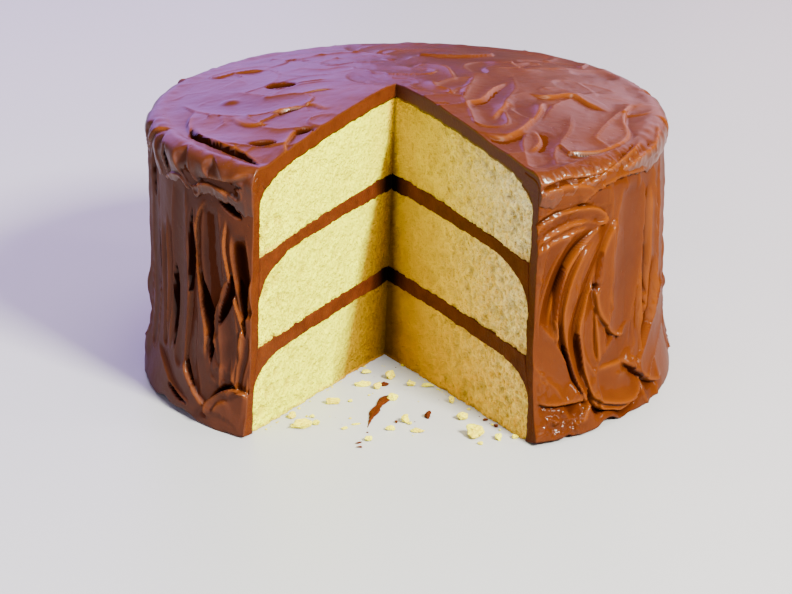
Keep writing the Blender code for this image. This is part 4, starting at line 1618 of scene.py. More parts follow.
def cut_places(plan: Plan, points: Array, right: bool) -> tuple[Array, Array]:
    """Which points lie on a cut face, and how far each is from the apex along it.

    Args:
        plan: The cake's plan.
        points: Points in the frame.
        right: True for the right cut, False for the left one.

    Returns:
        A mask of the points on the face, and every point's distance from the apex in plan.
    """
    way = plan.rim_direction(plan.right_cut if right else -plan.left_cut)
    offset = points[:, :2] - (np.array(plan.axis) + plan.apex_at(points[:, 2]))
    off_face = np.abs(offset[:, 0] * way[1] - offset[:, 1] * way[0])
    along = offset @ way
    return (off_face < 2e-5) & (along > -1e-5), along


@dataclass
class SpongeLayer:
    """One layer of yellow sponge, with the knife's cut through an open crumb, and the node it stands for."""

    plan: Plan
    slab: Slab
    node: str
    seed: int
    across: int = 280
    up: int = 96
    fine_pit: float = 0.0024
    large_pit: float = 0.0056
    settle: float = 0.003
    foot_radius: float = 0.09

    @property
    def foot(self) -> float:
        """Height of the lower face near its edge."""
        return float(self.slab.lower.at(self.foot_radius))

    def build(self) -> Object:
        """Makes the layer and opens the pores in its cut faces: pits sunk along the cut's normal."""
        made = CutSlab(self.plan, self.slab, self.across, self.up).build()
        points = points_of(made.data)
        pore = np.zeros(len(points))
        for right in (False, True):
            face, along = cut_places(self.plan, points, right)
            places = points[face]
            outward = np.clip(along[face] / self.plan.pan_radius, 0, 1)
            coarse = 0.50 + 0.85 * outward**1.6
            if right:
                coarse *= 1.2
            fine = cell_pits(places, self.fine_pit, self.seed, 0.80) ** 0.9
            large = cell_pits(places, self.large_pit, self.seed + 7, 0.30) ** 0.9
            grain = noise(places, 0.0021, self.seed + 3) + 0.7 * noise(places, 0.0010, self.seed + 5)
            wave = noise(places, 0.013, self.seed + 4)
            depth = 0.00012 + coarse * (0.00075 * fine + 0.00115 * large + 0.00020 * grain) + 0.00030 * wave
            pore[face] = np.clip(coarse * (0.55 * fine + 0.8 * large + 0.30 * grain), 0, 1)
            settled = smooth_step(along[face] / self.settle)
            points[face] -= (depth * settled)[:, None] * self.plan.cut_normal(right)
        set_points(made.data, points)
        store(made.data, "pore", pore)
        return made


@dataclass
class Filling:
    """One filling of frosting between two layers, smeared a little over both, and the node it stands for."""

    plan: Plan
    slab: Slab
    node: str
    seed: int
    across: int = 190
    up: int = 30
    smear: float = 0.0002
    settle: float = 0.003

    def _wave(self, points: Array, seed: int) -> Array:
        """How far an edge has moved at each point."""
        return 0.00035 + 0.00045 * noise(points, 0.0035, seed) + 0.0003 * noise(points, 0.0012, seed + 1)

    def build(self) -> Object:
        """Makes the filling, moves its edges up and down by noise, and lets it stand off the cut."""
        made = CutSlab(self.plan, self.slab, self.across, self.up).build()
        points = points_of(made.data)
        radius = self.plan.radius_of(points)
        low = self.slab.bottom(radius)
        high = self.slab.top(np.minimum(radius, self.slab.top_radius))
        rise = np.clip((points[:, 2] - low) / np.maximum(high - low, 1e-5), 0, 1)
        above = self._wave(points, self.seed)
        below = self._wave(points, self.seed + 2)
        for right in (False, True):
            face, along = cut_places(self.plan, points, right)
            settled = smooth_step(along / self.settle) * face
            lump = 0.00022 * noise(points, 0.004, self.seed + 4)
            lump = lump + 0.00005 * noise(points, 0.002, self.seed + 5)
            points += (settled * (self.smear + lump))[:, None] * self.plan.cut_normal(right)
        points[:, 2] += np.where(rise > 0.5, above * (2 * rise - 1), -below * (1 - 2 * rise))
        set_points(made.data, points)
        return made


# ---------------------------------------------------------------------------------------------
# Crumbs


@dataclass(frozen=True)
class Crumb:
    """One crumb: its place from the cake's axis and its sizes in mm, and its turn in degrees."""

    x: float
    y: float
    length: float
    width: float
    height: float
    turn: float = 0.0


@dataclass(frozen=True)
class Dust:
    """A strewing of small crumbs: how many, and from which to which size in mm."""

    count: int
    smallest: float
    largest: float
    at_cuts: float
    seed: int


@dataclass(frozen=True)
class Smear:
    """A smear of frosting on the floor: its path, its width at both ends and its height, in mm."""

    marks: tuple[Pair, ...]
    start: float
    end: float
    height: float


@dataclass
class Crumbs:
    """All crumbs of one kind, as one joined mesh at true size."""

    plan: Plan
    name: str
    placed: tuple[Crumb, ...]
    dust: Dust
    smears: tuple[Smear, ...] = ()
    facets: int = 16
    sunk: float = 0.16
    lowest: float = 0.00002

    def __post_init__(self) -> None:
        """Starts with nothing in the mesh."""
        self.draw = np.random.default_rng(self.dust.seed)
        self.points: list[Array] = []
        self.faces: list[Array] = []
        self.pores: list[Array] = []
        self.count = 0

    @staticmethod
    def ball(divisions: int) -> tuple[Array, Array]:
        """A ball of near-equal faces.

        Args:
            divisions: How often its faces are halved.

        Returns:
            Its points and triangles.
        """
        solid = bmesh.new()
        bmesh.ops.create_icosphere(solid, subdivisions=divisions, radius=1.0)
        points = np.array([vertex.co[:] for vertex in solid.verts])
        faces = np.array([[vertex.index for vertex in face.verts] for face in solid.faces])
        solid.free()
        return points, faces

    def broken(self, ball: Array, count: int) -> tuple[Array, Array]:
        """Breaks balls into crumbs: rounded random facets, as a power mean over planes, then lumps and pores.

        Args:
            ball: The ball's points.
            count: How many crumbs to make.

        Returns:
            The crumbs' points, and how deep each point lies in a pore.
        """
        planes = self.draw.normal(size=(count, 1, self.facets, 3))
        planes /= np.linalg.norm(planes, axis=-1)[..., None]
        far = self.draw.uniform(0.6, 1.0, (count, 1, self.facets))
        facing = np.maximum((ball[None, :, None, :] * planes).sum(-1), 0) / far
        radius = np.clip(((facing**7).sum(-1) + 1e-6) ** (-1 / 7), 0.5, 1.25)
        places = ball[None] + self.draw.uniform(0, 500, (count, 1, 3))
        pore = cell_pits(places, 0.42, 83, 0.75)
        radius *= 1 + 0.16 * noise(places, 0.6, 81) + 0.10 * noise(places, 0.27, 82) - 0.22 * pore
        return ball[None] * radius[..., None], pore

    def lay(self, shapes: Array, pores: Array, faces: Array, crumbs: list[Crumb]) -> None:
        """Sizes crumbs, turns them about their middles and sets them on the floor, flat underneath.

        Args:
            shapes: Each crumb's points about its middle.
            pores: How deep each point lies in a pore.
            faces: The triangles that all the crumbs share.
            crumbs: Their places and sizes.
        """
        size = np.array([(crumb.length, crumb.width, crumb.height) for crumb in crumbs])[:, None] * 0.5 * MM
        sized = shapes / np.abs(shapes).max(axis=1, keepdims=True) * size
        turn = np.radians([crumb.turn for crumb in crumbs])[:, None]
        middle = np.array([(crumb.x, crumb.y) for crumb in crumbs])[:, None] * MM
        lowest = sized[..., 2:].min(axis=1, keepdims=True)
        height = np.maximum(sized[..., 2:] - lowest * (1 - self.sunk), self.lowest)
        laid = turned(sized[..., :2], turn) + (middle + np.array(self.plan.axis))
        self.keep(np.concatenate((laid, height), -1), pores, faces)

    def keep(self, shapes: Array, pores: Array, faces: Array) -> None:
        """Adds finished shapes to the mesh.

        Args:
            shapes: Each shape's points.
            pores: How deep each point lies in a pore.
            faces: The triangles that all the shapes share.
        """
        shifts = self.count + np.arange(len(shapes))[:, None, None] * shapes.shape[1]
        self.points.append(shapes.reshape(-1, 3))
        self.pores.append(pores.ravel())
        self.faces.append((faces[None] + shifts).reshape(-1, 3))
        self.count += shapes.shape[0] * shapes.shape[1]

    def smear(self, smear: Smear) -> None:
        """Adds a smear: a ball whose length follows the path, and whose section narrows along it.

        Args:
            smear: The smear.
        """
        ball, faces = self.ball(5)
        path = curve_through(smear.marks, 10)
        steps = np.arange(len(path))
        part = 0.5 * (ball[:, 0] + 1) * steps[-1]
        middle = np.stack([np.interp(part, steps, path[:, axis]) for axis in (0, 1)], -1)
        run = np.gradient(path, axis=0)
        run /= np.linalg.norm(run, axis=1)[:, None]
        left = np.stack([np.interp(part, steps, run[:, axis]) for axis in (1, 0)], -1) * (-1, 1)
        lumps = 1 + 0.5 * noise(middle, 3.1, 85) + 0.3 * noise(middle, 1.3, 86)
        half = 0.5 * (smear.start + (smear.end - smear.start) * part / steps[-1]) * lumps
        rise = 0.5 * smear.height * (1 + 0.4 * noise(ball * 3, 1.0, 87)) * np.clip(half, 0.4, 1.2)
        points = np.empty_like(ball)
        points[:, :2] = (middle + left * (ball[:, 1] * half)[:, None]) * MM + np.array(self.plan.axis)
        points[:, 2] = np.maximum((ball[:, 2] * rise + 0.3 * rise) * MM, self.lowest)
        self.keep(points[None], np.zeros((1, len(points))), faces)

    def build(self) -> Object:
        """Makes the placed crumbs, the dust and the smears as one mesh."""
        for divisions, crumbs in ((5, list(self.placed)), (3, self._dust())):
            ball, faces = self.ball(divisions)
            shapes, pores = self.broken(ball, len(crumbs))
            self.lay(shapes, pores, faces, crumbs)
        for smear in self.smears:
            self.smear(smear)
        mesh = bpy.data.meshes.new(self.name)
        mesh.from_pydata(np.concatenate(self.points).tolist(), [], np.concatenate(self.faces).tolist())
        store(mesh, "pore", np.concatenate(self.pores))
        mesh.shade_smooth()
        return placed(self.name, mesh)

    def _dust(self) -> list[Crumb]:
        """Small crumbs out along the missing wedge, between the cuts or close to one of them."""
        dust = self.dust
        left = self.plan.rim_direction(-self.plan.left_cut)
        right = self.plan.rim_direction(self.plan.right_cut)
        apex = self.plan.apex_at(np.zeros(1))[0]
        made = []
        for _ in range(dust.count):
            across = self.draw.uniform(0.06, 0.94)
            if self.draw.random() < dust.at_cuts:
                across = 0.03 if self.draw.random() < 0.5 else 0.97
            way = left + across * (right - left)
            place = (apex + self.draw.uniform(0.014, 0.104) * way / np.linalg.norm(way)) / MM
            size = dust.smallest + (dust.largest - dust.smallest) * self.draw.random() ** 2.5
            width, height = size * self.draw.uniform(0.5, 1), size * self.draw.uniform(0.3, 0.7)
            made.append(Crumb(*place, size, width, height, self.draw.uniform(0, 180)))
        return made


SPONGE_CRUMBS = (
    Crumb(-45, -84, 11.0, 7.0, 4.4, 20), Crumb(-39, -81, 3.6, 3.0, 2.4), Crumb(-32, -57, 7.2, 5.0, 3.8, 10),
    Crumb(-20, -36, 8.6, 4.0, 2.6, 5), Crumb(-13, -39, 4.6, 3.6, 3.4, 40), Crumb(-7, -27, 5.4, 5.0, 4.6, 15),
    Crumb(-6, -52, 5.0, 4.6, 3.0, 60), Crumb(-16.5, -99, 5.2, 4, 3, 30), Crumb(-1, -78, 5.2, 4.2, 4.2, 70),
    Crumb(1.5, -81, 2.6, 2.2, 1.8), Crumb(-7, -87, 5.0, 3.4, 2.4, 15), Crumb(4.5, -89, 6.4, 3.6, 2.0, -5),
    Crumb(24, -75, 6.2, 5.2, 4.0, 25), Crumb(30, -94, 9.6, 8.0, 6.0, 40), Crumb(31, -103, 2.6, 2.4, 1.8),
    Crumb(20, -56, 4.2, 3.2, 3.8, 90), Crumb(2, -36, 4.6, 3.6, 2.6, 20), Crumb(9, -37, 6.0, 3.6, 2.4, 10),
    Crumb(-18, -21, 4.6, 3.0, 2.6), Crumb(-27, -86, 3.4, 2.2, 1.6, 35), Crumb(-22, -81, 4.6, 1.4, 1.0, 12),
    Crumb(-50, -73, 5.0, 4.0, 3.6, 50), Crumb(-41, -73, 2.8, 2.4, 1.8), Crumb(-25, -55, 2.4, 2.0, 1.4),
    Crumb(39, -97, 5.0, 3.6, 2.6, 60), Crumb(46, -96, 3.6, 3.0, 2.4),
)
CHOCOLATE_CRUMBS = (
    Crumb(9, -73, 4.2, 3.6, 3.8, 20), Crumb(-10, -36, 4.6, 2.8, 2.6, 10), Crumb(-4.4, -79, 1.9, 1.8, 1.5),
    Crumb(-20.5, -102, 4.0, 1.1, 1.0, 30), Crumb(-20, -106.5, 3.4, 1.2, 0.9, 3),
    Crumb(-16.8, -90.5, 1.4, 1.0, 0.8), Crumb(34, -77, 2.4, 2.0, 1.8), Crumb(38.6, -84, 2.6, 2.0, 1.8),
    Crumb(14, -34, 2.0, 1.6, 1.4),
)
STREAK_MARKS = ((-7.6, -48), (-10.6, -55), (-12.6, -62), (-14.6, -69), (-15.8, -76), (-17.0, -85))
STREAK = Smear(STREAK_MARKS, 6.4, 0.5, 1.5)


# ---------------------------------------------------------------------------------------------
# Materials


class Tree:
    """A small helper that adds nodes to one node tree and links them."""

    def __init__(self, tree: bpy.types.NodeTree) -> None:
        """Keeps the tree."""
        self.tree = tree

    def fill(self, node: bpy.types.Node, inputs: dict) -> None:
        """Sets a node's inputs, by a link where the value is a socket.

        Args:
            node: The node.
            inputs: Values by the input's name or number.
        """
        for name, value in inputs.items():
            if isinstance(value, Socket):
                self.tree.links.new(value, node.inputs[name])
            else:
                node.inputs[name].default_value = value

    def add(self, kind: str, inputs: dict | None = None, **settings: object) -> bpy.types.Node:
        """Adds a node.

        Args:
            kind: The node's type.
            inputs: Values for its inputs.
            **settings: Values for its properties.

        Returns:
            The node.
        """
        node = self.tree.nodes.new(kind)
        for name, value in settings.items():
            setattr(node, name, value)
        self.fill(node, inputs or {})
        return node

    def math(self, operation: str, first: object, second: object) -> Socket:
        """Result of one operation on two values."""
        return self.add("ShaderNodeMath", {0: first, 1: second}, operation=operation).outputs[0]

    def product(self, *values: object) -> Socket:
        """The product of two or more values."""
        return reduce(lambda first, second: self.math("MULTIPLY", first, second), values)

    def weighted(self, *terms: tuple[Socket, float]) -> Socket:
        """The sum of values, each times its weight."""
        products = [self.product(*term) for term in terms]
        return reduce(lambda first, second: self.math("ADD", first, second), products)

    def vector(self, operation: str, first: object, second: object = (0.0, 0.0, 0.0)) -> Socket:
        """Result of one operation on vectors."""
        return self.add("ShaderNodeVectorMath", {0: first, 1: second}, operation=operation).outputs[0]

    def part_of(self, vector: Socket, axis: str) -> Socket:
        """One of a vector's three parts."""
        return self.add("ShaderNodeSeparateXYZ", {0: vector}).outputs[axis]

    def mix(self, factor: object, first: object, second: object, blend: str = "MIX") -> Socket:
        """A mix of two colours.

        Args:
            factor: 0 for the first colour to 1 for the second.
            first: A colour or a socket.
            second: A colour or a socket.
            blend: How the second one covers the first.

        Returns:
            The mixed colour.
        """
        ends = [end if isinstance(end, Socket) else (*end, 1.0) for end in (first, second)]
        inputs = {0: factor, 6: ends[0], 7: ends[1]}
        return self.add("ShaderNodeMix", inputs, data_type="RGBA", blend_type=blend).outputs[2]

    def ramp(self, factor: object, low: object, high: object) -> Socket:
        """A value stretched so that low becomes 0 and high becomes 1, and kept between them."""
        node = self.add("ShaderNodeMapRange", {"Value": factor, "From Min": low, "From Max": high})
        return node.outputs["Result"]

    def value_of(self, name: str, output: str = "Fac") -> Socket:
        """A value that the mesh holds at its points."""
        return self.add("ShaderNodeAttribute", attribute_name=name).outputs[output]

    def texture(self, place: Socket, scale: object, detail: float, roughness: float = 0.5) -> Socket:
        """Noise from 0 to 1."""
        inputs = {"Vector": place, "Scale": scale, "Detail": detail, "Roughness": roughness}
        return self.add("ShaderNodeTexNoise", inputs).outputs["Fac"]

    def bump(self, height: Socket, strength: float, distance: float) -> Socket:
        """A normal tilted by a height."""
        inputs = {"Height": height, "Strength": strength, "Distance": distance}
        return self.add("ShaderNodeBump", inputs).outputs["Normal"]

    def effect(self, group: bpy.types.NodeTree, place: Socket, scale: float, **inputs: float) -> Socket:
        """A shared effect, with this place, scale and other inputs."""
        inputs = {"Vector": place, "Scale": scale, **inputs}
        return self.add("ShaderNodeGroup", inputs, node_tree=group).outputs[0]


class Effect(Tree):
    """A shared effect in the making: a group with a vector, a scale and maybe more as inputs."""

    def __init__(self, name: str, output: str, *inputs: str) -> None:
        """Makes the group and its sockets.

        Args:
            name: The group's name.
            output: Name of its only output.
            *inputs: Names of its inputs after the vector and the scale.
        """
        super().__init__(bpy.data.node_groups.new(name, "ShaderNodeTree"))
        sockets = self.tree.interface
        sockets.new_socket("Vector", in_out="INPUT", socket_type="NodeSocketVector")
        for each in ("Scale", *inputs):
            sockets.new_socket(each, in_out="INPUT", socket_type="NodeSocketFloat")
        sockets.new_socket(output, in_out="OUTPUT", socket_type="NodeSocketFloat")
        self.source = self.add("NodeGroupInput").outputs

    def close(self, result: Socket) -> bpy.types.NodeTree:
        """Connects the output and gives the group."""
        self.add("NodeGroupOutput", {0: result})
        return self.tree


def mottle_group() -> bpy.types.NodeTree:
    """A shared effect: soft blotches with finer grain in them, as a mask from 0 to 1."""
    group = Effect("mottle", "Mask")
    blotches = group.texture(group.source["Vector"], group.source["Scale"], 5.0, 0.6)
    return group.close(group.ramp(blotches, 0.32, 0.68))


def pitted_group() -> bpy.types.NodeTree:
    """A shared effect: small air holes of two sizes, as a height from 0 in a hole to 1 between them."""
    group = Effect("pitted", "Height", "Hole")
    vector, scale = group.source["Vector"], group.source["Scale"]
    warp = group.add("ShaderNodeTexNoise", {"Vector": vector, "Scale": scale, "Detail": 2.0}).outputs["Color"]
    place = group.vector("ADD", vector, group.vector("MULTIPLY", warp, (0.0012, 0.0012, 0.0012)))
    heights = []
    for factor in (1.0, 2.3):
        inputs = {"Vector": place, "Scale": group.product(scale, factor)}
        distance = group.add("ShaderNodeTexVoronoi", inputs).outputs["Distance"]
        heights.append(group.ramp(distance, 0.05, group.source["Hole"]))
    return group.close(group.math("MINIMUM", *heights))


@dataclass(frozen=True)
class Surface:
    """How a finish meets the light: roughness, mirror level, scattering below it and a wet coat over it."""

    name: str
    roughness: float
    level: float
    scatter: float = 0.0
    scatter_colour: Colour = (1.0, 0.35, 0.15)
    scatter_reach: float = 0.002
    coat: float = 0.0
    coat_roughness: float = 0.03
    coat_ior: float = 2.2


class Finish(Tree):
    """One material in the making, on the piece's own coordinates."""

    def __init__(self, surface: Surface) -> None:
        """Makes the material with its shader.

        Args:
            surface: How the finish meets the light.
        """
        self.surface = surface
        self.material = bpy.data.materials.new(surface.name)
        self.material.use_nodes = True
        super().__init__(self.material.node_tree)
        self.place = self.add("ShaderNodeTexCoord").outputs["Object"]

    def reach(self, plan: Plan) -> tuple[Socket, Socket]:
        """Measures each place from the wedge's apex.

        Args:
            plan: The cake's plan.

        Returns:
            The distance in plan, and how far to the right of the apex the place is.
        """
        apex = (plan.axis[0] + plan.apex[0], plan.axis[1] + plan.apex[1], 0.0)
        flat = self.vector("MULTIPLY", self.vector("SUBTRACT", self.place, apex), (1.0, 1.0, 0.0))
        length = self.add("ShaderNodeVectorMath", {0: flat}, operation="LENGTH").outputs["Value"]
        return length, self.part_of(flat, "X")

    def close(self, base: Socket, normal: Socket | None = None) -> Material:
        """Connects the colour and the bumps, and sets how the surface meets the light.

        Args:
            base: The colour.
            normal: The bumped normal.

        Returns:
            The material.
        """
        surface = self.surface
        shader = self.tree.nodes["Principled BSDF"]
        inputs = {
            "Base Color": base,
            "Roughness": surface.roughness,
            "Specular IOR Level": surface.level,
            "Subsurface Weight": surface.scatter,
            "Subsurface Radius": surface.scatter_colour,
            "Subsurface Scale": surface.scatter_reach,
            "Coat Weight": surface.coat,
            "Coat Roughness": surface.coat_roughness,
            "Coat IOR": surface.coat_ior,
        }
        self.fill(shader, inputs)
        if normal is not None:
            self.fill(shader, {"Normal": normal})
        return self.material


class MaterialShelf:
    """Makes each finish from two shared effects."""

    WALL = Surface("swept_frosting", 0.42, 0.02, 0.08, coat=0.050, coat_roughness=0.075)
    TOP = Surface("pooled_frosting", 0.36, 0.16, 0.08, coat=0.045, coat_roughness=0.13)
    # A matt copy of the frosting for slits, pits and painted shade, so that no glint shows in them.
    DEEP = Surface("shaded_frosting", 0.60, 0.0, 0.08)
    CUT_COAT = Surface("cut_coat", 0.55, 0.03, 0.15)
    CUT_FILLING = Surface("cut_filling", 0.55, 0.03, 0.15)
    LOOSE = Surface("loose_crumb", 0.85, 0.05, 0.35, (1.0, 0.85, 0.25), 0.003)
    FLOOR = Surface("pale_floor", 0.45, 0.5)

    def __init__(self, plan: Plan) -> None:
        """Keeps the plan and builds the shared effects."""
        self.plan = plan
        self.mottle = mottle_group()
        self.pitted = pitted_group()

    def frosting(self, surface: Surface) -> Material:
        """Chocolate frosting with painted light: shade darker in troughs and near black in slits, a lighter
        highlight at crests and a mauve reflection low on the left; finely streaked.

        Args:
            surface: How the skin shines.

        Returns:
            The material.
        """
        made = Finish(surface)
        place = made.place
        blotch = made.effect(self.mottle, place, 45.0)
        base = made.mix(blotch, (0.054, 0.0108, 0.0008), (0.073, 0.0155, 0.0012))
        # Painted reflection: a mauve sheen on the left of the wall, below the rim.
        leftward = made.ramp(made.part_of(place, "X"), -0.050, -0.108)
        below_rim = made.ramp(made.part_of(place, "Z"), 0.122, 0.108)
        base = made.mix(made.product(leftward, below_rim, 0.85), base, (0.072, 0.0265, 0.0190))
        # Painted shade in troughs and slits, read off the relief, and a painted highlight on the crests.
        trough = made.ramp(made.value_of("relief"), 0.3, -1.9)
        base = made.mix(made.product(trough, 0.64), base, (0.030, 0.0050, 0.0006))
        slit = made.ramp(made.value_of("relief"), -1.4, -2.8)
        base = made.mix(made.product(slit, 0.92), base, (0.0060, 0.0010, 0.0005))
        base = made.mix(made.product(made.value_of("crest"), 0.50), base, (0.160, 0.0390, 0.0026))
        laid = made.vector("MULTIPLY", made.value_of("streak", "Vector"), (0.06, 1.0, 1.0))
        lines = made.texture(laid, 900.0, 3.0, 0.6)
        grain = made.texture(place, 1500.0, 2.0)
        holes = made.effect(self.pitted, place, 140.0, Hole=0.11)
        skin = made.weighted((lines, 0.055), (grain, 0.12), (holes, 0.35))
        return made.close(base, made.bump(skin, 0.55, 0.0006))

    def _cut(self, made: Finish, cover: Socket, dark: Colour, light: Colour, over: Colour) -> Material:
        """Frosting where the knife cut it: matt, without the sheen of the swept skin.

        Args:
            made: The finish, just begun.
            cover: Where the third colour lies over the others, 0 to 1.
            dark: The darker colour of the mottle.
            light: Its lighter colour.
            over: The third colour: a painted reflection on the coat's cut faces, painted shade on the
                fillings.

        Returns:
            The material.
        """
        mottled = made.mix(made.effect(self.mottle, made.place, 160.0), dark, light)
        grain = made.texture(made.place, 900.0, 4.0)
        return made.close(made.mix(cover, mottled, over), made.bump(grain, 0.5, 0.0006))

    def cut_coat(self) -> Material:
        """The coat's cut faces, with a painted mauve reflection high on the right."""
        made = Finish(self.CUT_COAT)
        # Painted reflection: mauve over the right cut face, high up.
        rightward = made.ramp(made.part_of(made.place, "X"), -0.006, 0.004)
        high = made.ramp(made.part_of(made.place, "Z"), 0.060, 0.110)
        colours = ((0.052, 0.0108, 0.0018), (0.078, 0.0170, 0.0032), (0.076, 0.0310, 0.0340))
        return self._cut(made, made.product(rightward, high, 0.7), *colours)

    def cut_filling(self) -> Material:
        """The fillings, with painted shade that turns them dark towards the wedge's apex."""
        made = Finish(self.CUT_FILLING)
        colours = ((0.052, 0.0112, 0.0024), (0.084, 0.0185, 0.0038), (0.0016, 0.0005, 0.0002))
        # Painted shade: near black close to the apex.
        return self._cut(made, made.ramp(made.reach(self.plan)[0], 0.017, 0.005), *colours)

    def sponge(self, name: str, foot: float) -> Material:
        """Yellow sponge with painted light: lemon on the lit face left of the wedge and golden on the shaded
        face right of it, with a baked line along its foot.

        Args:
            name: The material's name.
            foot: Height of the layer's lower face at its edge, where the baked line runs.

        Returns:
            The material.
        """
        made = Finish(Surface(name, 0.85, 0.0, 0.25, (1.0, 0.80, 0.25), 0.003))
        place = made.place
        blotch = made.effect(self.mottle, place, 70.0)
        fine = made.effect(self.mottle, place, 420.0)
        holes = made.effect(self.pitted, place, 520.0, Hole=0.42)
        reach, across = made.reach(self.plan)
        level = made.part_of(place, "Z")
        outer = made.ramp(reach, 0.022, 0.104)
        far = made.math("POWER", outer, 1.8)
        rightward = made.ramp(across, -0.0012, 0.0012)
        raised = made.ramp(level, 0.0, 0.110)
        # Painted shade on the right face, with warm light thrown back from the left one: it runs from deep
        # gold by the apex over a rich yellow to pale, and is darker low down.
        deep = made.mix(blotch, (0.53, 0.315, 0.001), (0.64, 0.415, 0.001))
        rich = made.mix(blotch, (0.76, 0.510, 0.002), (0.86, 0.610, 0.003))
        pale = made.mix(blotch, (0.93, 0.620, 0.110), (0.97, 0.720, 0.170))
        shaded = made.mix(made.ramp(reach, 0.016, 0.052), deep, made.mix(far, rich, pale))
        shaded = made.mix(1.0, shaded, made.mix(raised, (0.74, 0.49, 0.05), (1.0, 1.0, 1.0)), "MULTIPLY")
        # The left face is painted as lit: lemon, a little darker by the apex.
        sunny = made.mix(blotch, (0.69, 0.700, 0.001), (0.77, 0.810, 0.002))
        lemon = made.mix(made.ramp(reach, 0.004, 0.030), (0.66, 0.610, 0.001), sunny)
        base = made.mix(rightward, lemon, shaded)
        # Holes and pores with painted shade in them, lighter and greener on the lit left face than on the
        # shaded right one, and a pale grain on the right face, darker low down; all stronger farther out.
        openness = made.math("ADD", 0.30, made.product(outer, 0.68))
        depth = made.math("SUBTRACT", 1.0, holes)
        hollow = made.mix(rightward, (0.60, 0.570, 0.002), (0.48, 0.290, 0.003))
        base = made.mix(made.product(depth, openness), base, hollow)
        hollow = made.mix(rightward, (0.50, 0.440, 0.002), (0.30, 0.175, 0.003))
        base = made.mix(made.product(made.value_of("pore"), openness), base, hollow)
        grain = made.mix(raised, (0.90, 0.62, 0.08), (0.99, 0.90, 0.50))
        base = made.mix(made.product(far, rightward, fine, 0.85), base, grain)
        # Painted shadow of the cake's right part on the left face by the apex, wider low down, and painted
        # shade in the corner on both faces, over a width that differs by side and height.
        left_width = made.mix(raised, (0.084,) * 3, (0.003,) * 3)
        right_width = made.mix(raised, (0.038,) * 3, (0.0095,) * 3)
        near = made.math("DIVIDE", reach, made.mix(rightward, left_width, right_width))
        golden = made.product(made.ramp(near, 0.62, 0.42), made.math("SUBTRACT", 1.0, rightward))
        base = made.mix(golden, base, (0.20, 0.112, 0.001))
        base = made.mix(made.ramp(near, 0.42, 0.10), base, (0.165, 0.074, 0.002))
        over_foot = made.math("SUBTRACT", made.math("SUBTRACT", level, foot), made.product(blotch, 0.0010))
        crust = made.ramp(over_foot, 0.0012, 0.0001)
        base = made.mix(made.product(crust, 0.45), base, (0.45, 0.210, 0.020))
        return made.close(base, made.bump(made.weighted((holes, 0.8), (fine, 0.35)), 0.9, 0.0012))

    def loose_crumb(self) -> Material:
        """Crumbs of sponge in full light: pale green-yellow, some golden, with painted shade in their pores.
        """
        made = Finish(self.LOOSE)
        blotch = made.effect(self.mottle, made.place, 55.0)
        fine = made.effect(self.mottle, made.place, 600.0)
        base = made.mix(blotch, (0.66, 0.440, 0.004), (0.78, 0.790, 0.008))
        base = made.mix(made.product(fine, 0.22), base, (0.95, 0.93, 0.20))
        # Painted shade in the pores.
        base = made.mix(made.product(made.value_of("pore"), 0.75), base, (0.50, 0.380, 0.010))
        return made.close(base, made.bump(fine, 0.8, 0.0006))

    def floor(self) -> Material:
        """The plain pale floor."""
        made = Finish(self.FLOOR)
        blotch = made.effect(self.mottle, made.place, 2.0)
        return made.close(made.mix(blotch, (0.40, 0.405, 0.43), (0.415, 0.42, 0.445)))


# ---------------------------------------------------------------------------------------------
# Studio


@dataclass(frozen=True)
class SoftLight:
    """A large soft lamp, aimed at the cake."""

    name: str
    place: Colour
    size: Pair
    power: float
    colour: Colour


